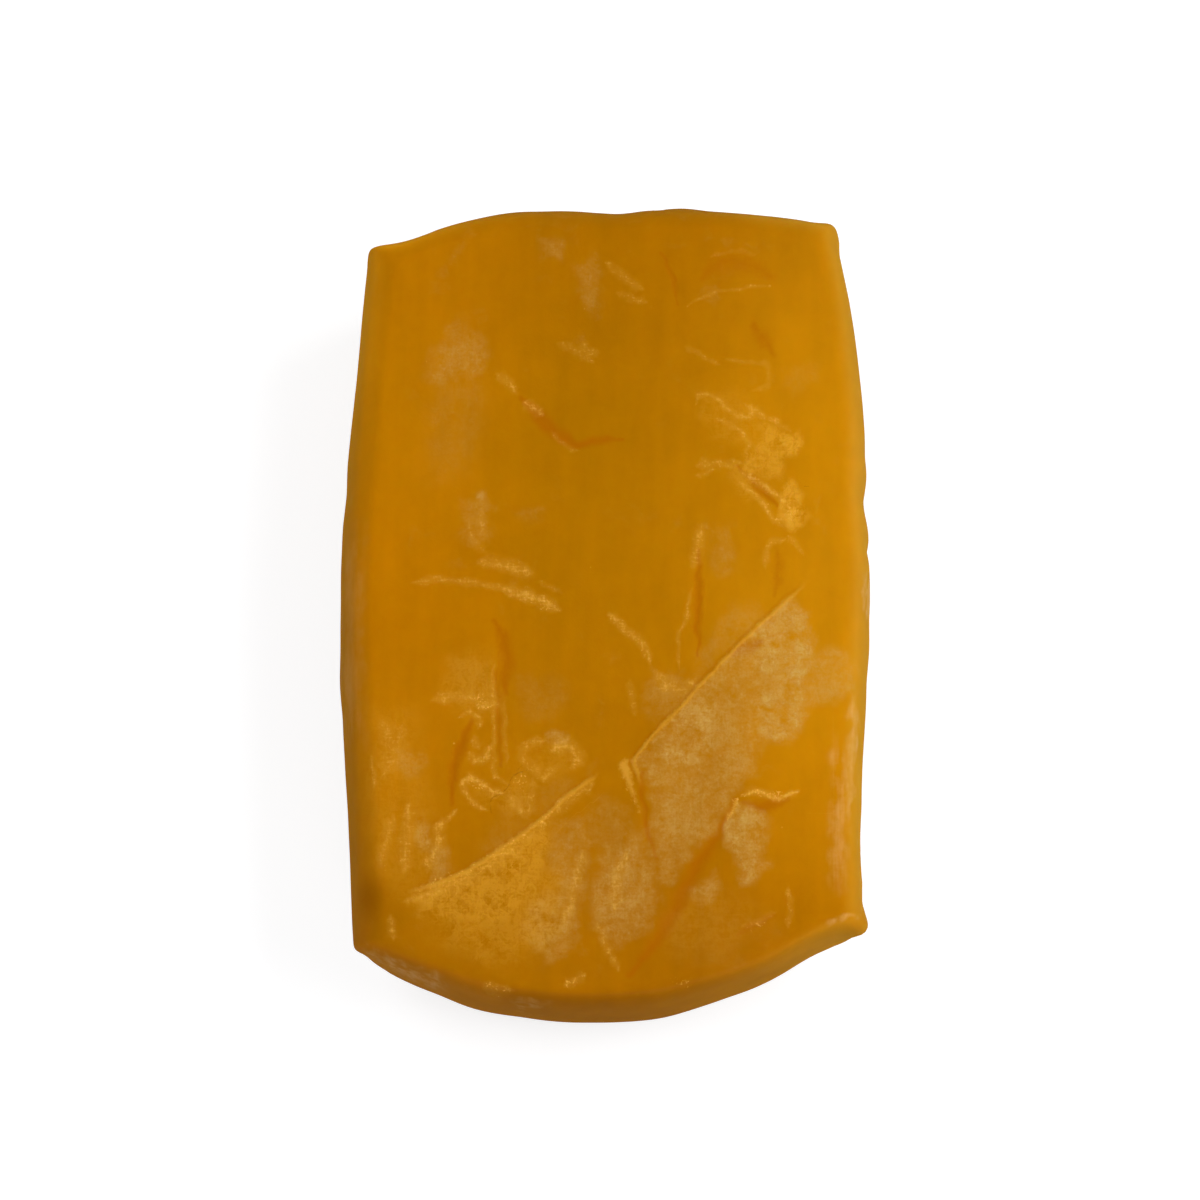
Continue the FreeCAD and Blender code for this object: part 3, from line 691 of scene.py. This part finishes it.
def patches(family):
    """The strongest patch at each point, with each patch's own softness and side of the folds."""
    field = np.zeros(count)
    for knots, softness, strength, fold_side in family.values():
        chosen = on_top(knots, softness + 2)
        depth = to_outline(patch_plan[chosen], knots)
        value = strength * smooth_step(-softness / 2, softness / 2, depth)
        if fold_side:
            value *= smooth_step(-SHARP, SHARP, path_gap[chosen] * fold_side)
        field[chosen] = np.maximum(field[chosen], value)
    return field


bloom = patches(BLOOM)
rubbed = patches(RUBBED)
crackled = np.maximum(rubbed, patches({name: BLOOM[name] for name in ("brightest", "second", "third")}))
print("share of the points with bloom:", round(float((bloom > 0.1).mean()), 3))

# %% [markdown]
# ## Relief
#
# A painted crease looks flat as soon as the light comes from the side, so every mark that has depth on
# the real block gets it here, in millimetres along the skin's own direction. Besides the marks the skin
# has low swells from the grip of the film, which noise in two sizes makes.

# %% Press the marks into the skin
SWELL = 0.10
SWELL_SIZE = 17.0
RIPPLE = 0.04
RIPPLE_SIZE = 5.5
GROOVE_SHARE = 0.6
PALE_HEIGHT = 0.05
CRUMB_HEIGHT = 0.05
FILM_HEIGHT = 0.12
FLAP_HEIGHT = 0.08
FOLD_HEIGHT = 0.22
FOLD_LEFT_FLANK = 0.4
FOLD_RIGHT_FLANK = 0.8
FAR_OUTSIDE = -9.0


def wander(size, offset):
    """Noise between about -1 and 1 at each point, with features of that size."""
    shift = Vector((offset, -offset, 2 * offset))
    return np.array([noise.noise(Vector(p) / size + shift) for p in place.tolist()])


relief = SWELL * wander(SWELL_SIZE, 3.1) + RIPPLE * wander(RIPPLE_SIZE, 7.7)
for knots, width, depth, _ in GROOVES.values():
    chosen = on_top(knots, width)
    distance, share, _ = to_line(line_plan[chosen], knots)
    ends = smooth_step(0, 0.3, share) * smooth_step(0, 0.3, 1 - share)
    relief[chosen] -= GROOVE_SHARE * depth * ends * (1 - smooth_step(0, width * 0.6, distance))
relief += PALE_HEIGHT * np.clip(pale, 0, 1)
relief += CRUMB_HEIGHT * crumbs_and_glints * wander(0.9, 4.4)
relief += FILM_HEIGHT * film_and_sheen * wander(2.0, 9.2)
flap_depth = np.full(count, FAR_OUTSIDE)
chosen = on_top(FLAP, 1)
flap_depth[chosen] = to_outline(place[chosen, :2], FLAP)
relief += FLAP_HEIGHT * smooth_step(-0.3, 0.3, flap_depth)
flank = np.where(fold_gap < 0, FOLD_LEFT_FLANK, FOLD_RIGHT_FLANK)
crest = 1 - smooth_step(0, 1, np.abs(fold_gap) / flank)
relief += FOLD_HEIGHT * crest * fold_strength
print(f"the marks go from {relief.min():.2f} to {relief.max():.2f} mm")

# %% [markdown]
# ### A hollow and the waves of the edge
#
# Close to the near left corner a small, soft hollow sinks into the top. And seen from above the edge of the
# block is no smooth sweep: it bulges and dips by a few tenths of a millimetre where the bag was
# wrinkled, and three corners reach out further than the solid has them. The outline could be drawn
# anew, but it is simpler to push the walls at a few places of the plan. Each has a distance outward,
# below 0 for a dip, and a radius. The top, which faces up, is left where it is.

# %% Sink the hollow, push the edge and apply the relief
HOLLOW_DEPTH = 0.45
EDGE_WAVES = {
    "near_right_ear": (41, -52.2, 1.4, 5.4),
    "near_right_dip": (42, -39, -0.35, 8.0),
    "near_bulge": (9, -63.5, 0.6, 12.0),
    "near_bulge_left": (-20, -62, 0.4, 8.0),
    "far_left_ear": (-41.5, 60.5, 1.0, 5.0),
    "far_left_tip": (-41.6, 61.8, 0.9, 2.6),
    "far_right_corner": (37.5, 60.5, 0.9, 5.0),
    "far_rise": (-4.5, 64, 0.5, 7.0),
    "far_dip": (3, 64, -0.3, 4.0),
    "far_notch": (8.8, 64, -0.3, 1.4),
    "far_bump": (12.5, 64, 0.4, 5.0),
    "right_bump_far": (42.2, 21, 0.35, 3.4),
    "right_dip_far": (42.2, 16, -0.3, 3.0),
    "right_bump": (42.2, 11.5, 0.3, 3.0),
    "right_dip": (42.2, 8.5, -0.3, 2.4),
    "right_bump_near": (42, -7, 0.25, 6.0),
    "left_dip": (-42, 18, -0.25, 6.0),
    "left_bump": (-42, -12, 0.25, 7.0),
}
FOOT_BEGINS = 0.5
FOOT_ENDS = 6


def dent(x, y, z, radius):
    """1 at a place on the block, falling softly to 0 at the radius."""
    return 1 - smooth_step(0, radius, np.linalg.norm(place - np.array([x, y, z]), axis=1))


relief -= HOLLOW_DEPTH * dent(-37, -50, 38, 7)
sideways = 1 - np.abs(facing[:, 2])
for x, y, out, radius in EDGE_WAVES.values():
    reach = np.hypot(place[:, 0] - x, place[:, 1] - y)
    relief += out * (1 - smooth_step(0, radius, reach)) * sideways
foot = smooth_step(FOOT_BEGINS, FOOT_ENDS, place[:, 2])
place += facing * (relief * foot)[:, None]
limits = np.array([half_width, half_length, height])
place = np.clip(place, [-half_width, -half_length, 0], limits)
print(f"the whole relief goes from {relief.min():.2f} to {relief.max():.2f} mm")

# %% [markdown]
# ## Tones of the clean cheese, with painted light and shade
#
# Under the bloom the cheese is a deep, waxy yellow that is never one colour. It is deepest in the
# middle, and more orange toward the left and toward the near edge. Toward the right it is lighter and
# yellower, partly its own tone and partly painted light on the side where the strongest lamp hangs.
# A few tones at places on the top say so, and each point of the skin takes a blend of those near it.
# The blend is pushed about by slow noise, so that no border shows. The rim and the walls have tones of
# their own, which hold painted light and shade: the far left rim and the near right ear are painted
# light, and the blue in the wall tones is a painted sheen. The hollow is painted darker and redder
# than the cheese around it, as painted shade.

# %% Blend the tones, with their painted light and shade, over the skin
TONE_REACH = 12.0
WALL_BEGINS = 0.985
WALL_FULL = 0.6
# Tones on the top: the right-hand ones are lighter partly as painted light from the strongest lamp.
TOP_TONES_AND_LIGHT = {
    "far_left": ((-30, 50), (184, 116, 2)),
    "far_middle": ((0, 52), (166, 105, 1)),
    "far_between": ((16, 52), (172, 107, 1)),
    "far_right": ((34, 50), (192, 127, 8)),
    "left_far": ((-35, 26), (186, 119, 2)),
    "middle_far": ((-2, 28), (168, 109, 1)),
    "between_far": ((18, 28), (177, 114, 3)),
    "right_far": ((36, 26), (198, 131, 5)),
    "left": ((-35, 0), (188, 117, 1)),
    "middle": ((-2, 0), (171, 110, 1)),
    "between": ((18, 0), (184, 119, 3)),
    "right": ((36, 0), (197, 131, 8)),
    "left_near": ((-35, -28), (187, 118, 3)),
    "middle_near": ((-4, -26), (176, 112, 2)),
    "right_near": ((34, -34), (200, 131, 5)),
    "between_near": ((12, -40), (167, 105, 2)),
    "low_left": ((-14, -44), (177, 112, 2)),
    "near_left": ((-27, -55), (162, 101, 2)),
    "near_middle": ((-2, -58), (172, 107, 2)),
    "near_between": ((18, -56), (156, 94, 1)),
    "near_right": ((33, -52), (178, 110, 1)),
}
# Wall tones: the far left rim and the near right ear are painted light, and their blue is a painted sheen.
WALL_TONES_AND_LIGHT = {
    "far_left": ((-42, 50), (222, 145, 10)),
    "left_far": ((-42, 28), (204, 132, 10)),
    "left": ((-42, 0), (190, 121, 16)),
    "left_near": ((-42, -30), (188, 119, 8)),
    "near_left": ((-36, -56), (176, 107, 10)),
    "near": ((0, -66), (161, 97, 2)),
    "near_right": ((30, -60), (172, 106, 4)),
    "ear": ((41, -52), (214, 146, 26)),
    "right_near": ((42, -30), (202, 138, 22)),
    "right": ((42, 10), (204, 140, 28)),
    "far_right": ((40, 50), (198, 137, 26)),
    "far": ((0, 64), (172, 111, 10)),
}
# Painted shade in the small hollow near the near left corner.
HOLLOW_SHADE_TONE = (150, 86, 0)
HOLLOW_SHADE_STRENGTH = 0.7


def linear(tone):
    """A colour as seen on a screen, 0 to 255, as linear shares."""
    shares = np.array(tone, float) / 255
    return np.where(shares <= 0.04045, shares / 12.92, ((shares + 0.055) / 1.055) ** 2.4)


def blended(tones, plan):
    """Each point's blend of the tones near it."""
    total = np.zeros((count, 1))
    blend = np.zeros((count, 3))
    for spot, tone in tones.values():
        far = np.sum((plan - np.array(spot)) ** 2, axis=1, keepdims=True)
        weight = np.exp(-far / (2 * TONE_REACH**2)) + 1e-9
        total += weight
        blend += weight * linear(tone)
    return blend / total


tone_plan = place[:, :2] + 6 * push(16.0, 2.2) + 3 * push(6.0, 8.1)
wall_share = smooth_step(WALL_BEGINS, WALL_FULL, facing[:, 2])[:, None]
tone = blended(TOP_TONES_AND_LIGHT, tone_plan) * (1 - wall_share) + blended(WALL_TONES_AND_LIGHT, tone_plan) * wall_share
# Painted shade darkens the hollow.
hollow_shade_share = HOLLOW_SHADE_STRENGTH * dent(-36.6, -47.8, 38, 5.4)[:, None]
tone = tone * (1 - hollow_shade_share) + linear(HOLLOW_SHADE_TONE) * hollow_shade_share
print("mean tone", np.round(tone.mean(0), 3))

# %% Build the piece
mesh.vertices.foreach_set("co", ((place + middle) * MM).astype(np.float32).ravel())
mesh.update()
fields = {"groove_and_shade": groove_and_shade, "pale": pale, "bloom": bloom, "rubbed": rubbed, "crackled": crackled}
fields |= {"film_and_sheen": film_and_sheen, "crumbs_and_glints": crumbs_and_glints, "crack": crack, "pin": pin, "glint": glint}
fields |= {"fold_gap": fold_gap, "fold_strength": fold_strength, "left_share": left_share}
fields |= {"flap": flap_depth, "wall": wall_share[:, 0]}
for name, values in fields.items():
    attribute = mesh.attributes.new(name, "FLOAT", "POINT")
    attribute.data.foreach_set("value", values.astype(np.float32))
# The tone field carries the painted light of the tones and the painted shade of the hollow.
attribute = mesh.attributes.new("tone", "FLOAT_COLOR", "POINT")
attribute.data.foreach_set("color", np.hstack([tone, np.ones((count, 1))]).astype(np.float32).ravel())
cheese = bpy.data.objects.new("butter_cheese_skin", mesh)
bpy.context.scene.collection.objects.link(cheese)
mesh.shade_smooth()
print(cheese.name, "carries", len(fields) + 1, "fields")


# %% [markdown]
# ## Shader maths as sums
#
# A material is a graph of nodes, and a long sum is hard to read as one. This small class lets a node's
# output stand in a Python sum: each operator adds its Math node. Every other node comes from one
# method, which sets the node's settings first and then its sockets.

# %% Sockets that take part in sums
class Value:
    """An output socket in a sum. Each operator adds a Math node."""

    def __init__(self, shop, socket):
        self.shop = shop
        self.socket = socket

    def math(self, operation, *others, clamp=False):
        """This value and the others put through a Math node."""
        settings = {"operation": operation, "use_clamp": clamp}
        return self.shop.node("ShaderNodeMath", settings, dict(enumerate([self, *others])))

    def __add__(self, other):
        return self.math("ADD", other)

    def __sub__(self, other):
        return self.math("SUBTRACT", other)

    def __mul__(self, other):
        return self.math("MULTIPLY", other)

    def __rsub__(self, other):
        return self.shop.node("ShaderNodeMath", {"operation": "SUBTRACT"}, {0: other, 1: self})

    __radd__ = __add__
    __rmul__ = __mul__

    def step(self, low, high):
        """0 below low, 1 above high, with a soft S between; low may be the larger."""
        settings = {"interpolation_type": "SMOOTHSTEP"}
        sockets = {"Value": self, "From Min": low, "From Max": high}
        return self.shop.node("ShaderNodeMapRange", settings, sockets)

    def most(self, other):
        """The larger of the two."""
        return self.math("MAXIMUM", other)

    def clamped(self):
        """The value cut off below 0 and above 1."""
        return self.math("ADD", 0.0, clamp=True)


class Shop:
    """Makes the nodes of one material."""

    def __init__(self, tree):
        self.tree = tree

    def node(self, kind, settings=None, sockets=None, output=0):
        """A new node with these settings, then these socket values or links; gives one of its outputs."""
        made = self.tree.nodes.new(kind)
        for name, value in (settings or {}).items():
            setattr(made, name, value)
        for name, value in (sockets or {}).items():
            if isinstance(value, Value):
                self.tree.links.new(value.socket, made.inputs[name])
            else:
                made.inputs[name].default_value = value
        return Value(self, made.outputs[output])

    def field(self, name):
        """A number that the skin carries under this name."""
        return self.node("ShaderNodeAttribute", {"attribute_name": name}, output="Fac")

    def mix(self, factor, first, second):
        """One colour over the other, by the factor."""
        settings = {"data_type": "RGBA"}
        return self.node("ShaderNodeMix", settings, {0: factor, 6: first, 7: second}, output=2)

    def cloud(self, size, detail=2.0, vector=None, rough=0.5, twist=0.0):
        """Noise with features of that size in millimetres, mostly between -1 and 1."""
        sockets = {"Vector": vector or self.spot, "Scale": 1 / (size * MM), "Detail": detail}
        sockets |= {"Roughness": rough, "Distortion": twist}
        return (self.node("ShaderNodeTexNoise", {}, sockets, output="Fac") - 0.5) * 4

    def scaled(self, colour, factor):
        """A colour made lighter or darker by a factor that varies."""
        return self.node("ShaderNodeVectorMath", {"operation": "SCALE"}, {0: colour, "Scale": factor})

    def stretched(self, x, y, z):
        """The place, squeezed along each axis, so that noise on it comes out long along the small ones."""
        return self.node("ShaderNodeVectorMath", {"operation": "MULTIPLY"}, {0: self.spot, 1: (x, y, z)})


def rgb(red, green, blue):
    """A colour as seen on a screen, 0 to 255, as the linear colour that a socket takes."""
    return (*linear((red, green, blue)).tolist(), 1)


print("butter yellow is", tuple(round(v, 3) for v in rgb(182, 115, 3)))

# %% [markdown]
# ## The cheese itself
#
# The clean cheese takes its tone from the skin, with the painted light and shade that the tones hold.
# Two more things move it: slow clouds, and faint upright streaks left by the pull of the film.

# %% The colour of clean cheese
material = bpy.data.materials.new("butter_cheese")
material.use_nodes = True
tree = material.node_tree
principled = tree.nodes["Principled BSDF"]
shop = Shop(tree)
shop.spot = shop.node("ShaderNodeTexCoord", output="Object")

# The tone carries painted light and shade from the skin.
tone = shop.node("ShaderNodeAttribute", {"attribute_name": "tone"}, output="Color")
slow = shop.cloud(11, 3)
streaks = shop.cloud(1, 3, vector=shop.stretched(1 / 2.6, 1 / 16, 1 / 8))
mottle = shop.cloud(3.6, 4, rough=0.65, twist=0.4)
lightness = slow * 0.04 + streaks * 0.04 + mottle * 0.035 + 1.0
colour = shop.scaled(tone, lightness)
print("the material starts with", len(tree.nodes), "nodes")

# %% [markdown]
# ### Textures shared by the marks
#
# The same few textures make every mark on the cheese: fine grain, coarser grit, blots, and thin
# veins. Veins are the places where a noise passes its middle value. The weave is a noise drawn out
# one way plus a noise drawn out the other way, like fine scratches that cross. Cells come from a
# Voronoi pattern on a place that drifts, so that they are not round, and crackle is the edge between
# them. An image could hold all this, but noise stays sharp however close the camera comes.

# %% Grain, grit, blots, veins and crackle
grain = shop.cloud(0.42, 1, rough=0.6)
grit = shop.cloud(1.1, 3, rough=0.65)
blots = shop.cloud(3.0, 4, rough=0.6, twist=0.5)
veil = shop.cloud(9.0, 4, rough=0.6, twist=0.8)
veins = 1.0 - shop.cloud(2.2, 3, rough=0.6, twist=1.0).math("ABSOLUTE") * 3.5
veins = veins.clamped()
weave = shop.cloud(1, 1, vector=shop.stretched(1 / 0.32, 1 / 2.4, 1 / 2.4))
weave = weave + shop.cloud(1, 1, vector=shop.stretched(1 / 2.4, 1 / 0.32, 1 / 2.4))
drift = shop.node("ShaderNodeTexNoise", {}, {"Vector": shop.spot, "Scale": 1 / (1.4 * MM)}, output="Color")
drift = shop.node("ShaderNodeVectorMath", {"operation": "SCALE"}, {0: drift, "Scale": 1.6 * MM})
bent_spot = shop.node("ShaderNodeVectorMath", {"operation": "ADD"}, {0: shop.spot, 1: drift})
cell_sockets = {"Vector": bent_spot, "Scale": 1 / (1.7 * MM)}
cells = (shop.node("ShaderNodeTexVoronoi", {}, cell_sockets, output="Color") - 0.5) * 2
cell_edge = shop.node("ShaderNodeTexVoronoi", {"feature": "DISTANCE_TO_EDGE"}, cell_sockets)
crackle = cell_edge.step(0.07, 0.01)

# %% [markdown]
# ### Grooves with painted shade, and bloom, in the colour
#
# The grooves are painted a deeper, darker orange, partly their own colour and partly painted shade in
# the crease. The bloom is a thin haze over the yellow: it takes some colour away and adds blue, which
# clean cheese has almost none of. It is denser in blots.

# %% Colour of the grooves and the bloom
# The deep orange holds the grooves' own colour and painted shade, the painted shade of the fold flanks, and
# the crackle.
DEEP_ORANGE_AND_SHADE_TONE = rgb(170, 93, 2)
HAZE = rgb(203, 165, 86)
RUBBED_TONE = rgb(226, 166, 48)

groove_and_shade_mask = (shop.field("groove_and_shade") + grit * 0.2 + blots * 0.12 + grain * 0.1).step(-0.5, 1.0)
colour = shop.mix(groove_and_shade_mask * 0.66, colour, DEEP_ORANGE_AND_SHADE_TONE)

bloom = shop.field("bloom")
ragged_bloom = bloom * (blots * 0.6 + veil * 0.3 + grit * 0.3 + 0.75).clamped()
faint = (veil * 0.6 + blots * 0.5 - 0.35).clamped() * 0.14
texture = grain * 0.26 + grit * 0.34 + weave * 0.14 + veins * 0.3 + cells * 0.12 + 0.84
bloom_mask = ((ragged_bloom + faint) * texture).clamped()
colour = shop.mix(bloom_mask * 0.9, colour, HAZE)

rubbed = shop.field("rubbed")
rubbing = cells * 0.4 + grit * 0.35 + grain * 0.15 + blots * 0.4 + veins * 0.5 + weave * 0.15 + 0.6
rubbed_mask = (rubbed * rubbing.clamped()).clamped()
colour = shop.mix(rubbed_mask * 0.85, colour, RUBBED_TONE)
crackle_mask = crackle * shop.field("crackled") * (blots * 0.6 + grit * 0.5 + 0.6).clamped()
colour = shop.mix(crackle_mask * 0.34, colour, DEEP_ORANGE_AND_SHADE_TONE)

# %% [markdown]
# ### Pale lines and folds in the colour
#
# A pale line is a row of grains: grain and grit are added to the line's roof and only the tops show.
# The folds are painted pale along the crest, partly rubbed cheese and partly a painted highlight, and
# deep orange on the flank that turns away from the light, which is painted shade. They are grained like
# the lines.

# %% Colour of the lines and the folds
PALE_TONE = rgb(232, 176, 66)
# The pale crest colour is partly rubbed cheese and partly a painted highlight.
FOLD_CREST_AND_HIGHLIGHT_TONE = rgb(210, 152, 40)

pale_field = shop.field("pale")
ragged = grain * 0.35 + grit * 0.55 + weave * 0.3 + veins * 0.4
pale_mask = (pale_field + ragged - 0.15).step(0.0, 1.5)
pale_halo = (pale_field + grit * 0.4).step(-1.0, 0.9) * 0.16
colour = shop.mix((pale_mask * 0.42 + pale_halo).clamped(), colour, PALE_TONE)

gap = shop.field("fold_gap")
on_fold = shop.field("fold_strength")
on_left = shop.field("left_share")
crest_width = on_left * 0.12 + 0.42
crest_light = (crest_width - (gap + 0.05).math("ABSOLUTE")) * 2.0 + ragged * 0.45
fold_light = crest_light.step(-0.2, 0.9) * on_fold
# Painted shade on the flank of each fold that turns away from the light.
flank_painted_shade = ((0.4 - (gap + 0.62).math("ABSOLUTE")) * 2.5).step(0, 0.9) * on_fold
colour = shop.mix(flank_painted_shade * 0.2, colour, DEEP_ORANGE_AND_SHADE_TONE)
colour = shop.mix(fold_light * 0.55, colour, FOLD_CREST_AND_HIGHLIGHT_TONE)

# %% [markdown]
# ### Flap, films and sheen, crumbs and glints, and cracks in the colour
#
# The film of fat, with its painted highlights and sheen, is drawn out along the edge, so its texture
# is a noise stretched along the block. The crumbs are the tops of the finest grain, only where the skin
# was roughened, and are partly painted glints. The glints are painted highlights.

# %% Colour of the small marks
FILM_AND_SHEEN_TONE = rgb(226, 176, 96)
CRACK_TONE = rgb(110, 60, 6)
CRUMB_AND_GLINT_TONE = rgb(238, 178, 60)

flap_mask = (shop.field("flap") * 1.5 + grain * 0.3 + grit * 0.4).step(-0.4, 1.0)
colour = shop.mix(flap_mask * 0.42, colour, PALE_TONE)
drawn = shop.cloud(1, 3, vector=shop.stretched(1 / 1.3, 1 / 9, 1 / 5))
# Painted highlights and sheen, with pinkish fat, in the film strips.
film_and_sheen_mask = shop.field("film_and_sheen") * (drawn * 0.6 + grit * 0.2 + blots * 0.15 + 0.4).clamped()
colour = shop.mix(film_and_sheen_mask.clamped() * 0.7, colour, FILM_AND_SHEEN_TONE)
# Painted glints among the bright crumbs.
crumb_and_glint_mask = (grain * 0.7 + grit * 0.5 + shop.field("crumbs_and_glints") * 1.1).step(1.15, 1.7) * shop.field("crumbs_and_glints")
colour = shop.mix(crumb_and_glint_mask * 0.58, colour, CRUMB_AND_GLINT_TONE)
small_dark = shop.field("crack").most(shop.field("pin")) + grain * 0.25
colour = shop.mix(small_dark.step(0, 0.9) * 0.45, colour, CRACK_TONE)
# Painted highlights at the glints.
colour = shop.mix(shop.field("glint").step(0.1, 0.9) * 0.5, colour, PALE_TONE)

# %% [markdown]
# ### Finish
#
# Clean cheese is waxy: light goes in and comes out a little way off, which softens every edge. It
# has almost no mirror sheen of its own, but the rubbed lines and the crumbs are greasy and do, so
# they get a coat. Bloom is dry. The finest grain is a bump, because it is too fine for the mesh.

# %% Finish of the skin
roughness = bloom_mask * 0.3 + slow * 0.05 + 0.6
coat = pale_mask * 0.08 + fold_light * 0.08 + crumb_and_glint_mask * 0.3 + film_and_sheen_mask * 0.2
coat = coat + shop.field("wall") * 0.04
bump_height = grain * (bloom_mask * 0.5 + pale_mask * 0.35 + 0.06) + grit * (bloom_mask * 0.5 + 0.1)
bump_height = bump_height + veins * bloom_mask * 0.4 + slow * 0.2 - crackle_mask * 0.8
bump_height = bump_height + (grain * 0.5 + grit * 0.5 + cells * 0.4) * rubbed_mask
bump = shop.node("ShaderNodeBump", {}, {"Strength": 0.4, "Distance": 0.00012, "Height": bump_height})

linked = {"Base Color": colour, "Roughness": roughness.clamped()}
linked |= {"Coat Weight": coat.clamped(), "Normal": bump}
for name, value in linked.items():
    tree.links.new(value.socket, principled.inputs[name])
principled.inputs["Coat Roughness"].default_value = 0.35
principled.inputs["Subsurface Weight"].default_value = 0.35
principled.inputs["Subsurface Radius"].default_value = (1.0, 0.45, 0.06)
principled.inputs["Subsurface Scale"].default_value = 0.002
principled.inputs["Specular IOR Level"].default_value = 0.0
mesh.materials.append(material)
print("the material has", len(tree.nodes), "nodes")

# %% Fix the piece to the frame
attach(cheese, "root")
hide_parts("cheese_block")

# %% [markdown]
# ## The floor
#
# The block lies on a plain pale floor that has to look white and still keep the block's shadow. More
# light would wash out the block, so the floor does it alone: its paint is a middle grey that takes the
# shadow, and it adds a glow that only the camera, mirrors and clear things see. The glow lights nothing.

# %% Floor
FLOOR_REACH = 3.0
FLOOR_GREY = (0.42, 0.43, 0.44, 1)
FLOOR_GLOW = 0.74


def seen_directly(shop):
    """1 on rays that look straight at a thing, or by way of a mirror or a clear thing."""
    straight = shop.node("ShaderNodeLightPath", output="Is Camera Ray")
    mirrored = shop.node("ShaderNodeLightPath", output="Is Glossy Ray")
    through = shop.node("ShaderNodeLightPath", output="Is Transmission Ray")
    return (straight + mirrored + through).clamped()


floor_mesh = bpy.data.meshes.new("studio_floor")
floor_corners = [(-FLOOR_REACH, -FLOOR_REACH, 0), (FLOOR_REACH, -FLOOR_REACH, 0)]
floor_corners += [(FLOOR_REACH, FLOOR_REACH, 0), (-FLOOR_REACH, FLOOR_REACH, 0)]
floor_mesh.from_pydata(floor_corners, [], [(0, 1, 2, 3)])
floor = bpy.data.objects.new("studio_floor", floor_mesh)
bpy.context.scene.collection.objects.link(floor)
floor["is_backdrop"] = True
paint = bpy.data.materials.new("white_floor")
paint.use_nodes = True
floor_mesh.materials.append(paint)
base = paint.node_tree.nodes["Principled BSDF"]
base.inputs["Base Color"].default_value = FLOOR_GREY
base.inputs["Roughness"].default_value = 0.9
base.inputs["Specular IOR Level"].default_value = 0.0
base.inputs["Emission Color"].default_value = (1, 1, 1, 1)
glow = seen_directly(Shop(paint.node_tree)) * FLOOR_GLOW
paint.node_tree.links.new(glow.socket, base.inputs["Emission Strength"])
print("the floor is", 2 * FLOOR_REACH, "m wide")

# %% [markdown]
# ## The room
#
# A real table stands in a pale room that sends some light from all sides. The room could be built of
# walls, but a plain white world is enough for one block. It is white where the camera looks past the
# floor, and dim where it only fills the shadows, so that the softboxes can still model the block.

# %% World
WORLD_FILL = 0.2
world = bpy.data.worlds.new("studio")
bpy.context.scene.world = world
world.use_nodes = True
background = world.node_tree.nodes["Background"]
background.inputs["Color"].default_value = (1, 1, 1, 1)
strength = seen_directly(Shop(world.node_tree)) * (1 - WORLD_FILL) + WORLD_FILL
world.node_tree.links.new(strength.socket, background.inputs["Strength"])
print("the room fills the shadows at", WORLD_FILL)

# %% [markdown]
# ## The lights
#
# Three softboxes light the block. The strongest hangs on the right, where the block is brightest. A
# weaker one on the left keeps that wall a deep orange. A low one in front reaches the near wall, which
# the other two leave dark. Each is given by the way it is seen from the block, so it is easy to move.
# The camera is placed by the same function.


# %% Lights
def look_from(holder, azimuth, elevation, distance, aim):
    """Hang a lamp or a camera in that direction from the aim, looking at the aim."""
    turn = math.radians(azimuth)
    rise = math.radians(elevation)
    back = Vector((math.sin(turn) * math.cos(rise), -math.cos(turn) * math.cos(rise), math.sin(rise)))
    holder.location = aim + back * distance
    holder.rotation_mode = "QUATERNION"
    holder.rotation_quaternion = (-back).to_track_quat("-Z", "Y")
    bpy.context.scene.collection.objects.link(holder)


def softbox(name, azimuth, elevation, distance, size, power):
    """A soft light that looks at the block from that direction."""
    lamp = bpy.data.lights.new(name, "AREA")
    lamp.shape = "RECTANGLE"
    lamp.size = size[0]
    lamp.size_y = size[1]
    lamp.energy = power
    look_from(bpy.data.objects.new(name, lamp), azimuth, elevation, distance, LIGHT_AIM)
    print(name, "has", power, "W")


LIGHT_AIM = Vector((0, 0, 0.03))
softbox("right_softbox", 100, 52, 0.75, (0.6, 0.4), 4.3)
softbox("left_softbox", -105, 60, 0.8, (0.5, 0.4), 2.3)
softbox("near_softbox", 8, 16, 0.9, (0.8, 0.3), 2.0)

# %% [markdown]
# ## The camera
#
# The block is seen from almost straight above, leaning a little toward the near end, so that its near
# wall shows as a narrow band. The lens is long and stands well off, which keeps the sides parallel. A
# small shift centres the block without turning the camera.

# %% Camera
CAMERA_AIM = Vector((0, 0, 0.02))
CAMERA_DISTANCE = 0.6
CAMERA_ELEVATION = 78
PICTURE_SIZE = 1200
camera_data = bpy.data.cameras.new("camera")
camera_data.lens = 112.5
camera_data.sensor_width = 36
camera_data.shift_x = -5 / PICTURE_SIZE
camera_data.shift_y = 15 / PICTURE_SIZE
camera = bpy.data.objects.new("camera", camera_data)
look_from(camera, 0, CAMERA_ELEVATION, CAMERA_DISTANCE, CAMERA_AIM)
bpy.context.scene.camera = camera
bpy.context.scene.view_settings.view_transform = "Standard"
print("the camera is at", tuple(round(value, 3) for value in camera.location))

# %% [markdown]
# ## Sizes and the end
#
# The dressed block fills the same space as the plain solid, neither more nor clearly less: the relief is cut
# off at the solid's sizes, and the last lines measure how near the two boxes come.

# %% Finish
visual_low, visual_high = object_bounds()
gaps = [abs(a - b) for a, b in zip([*cad_low, *cad_high], [*visual_low, *visual_high])]
print(f"the dressed block's box is within {max(gaps) / MM:.2f} mm of the solid's")
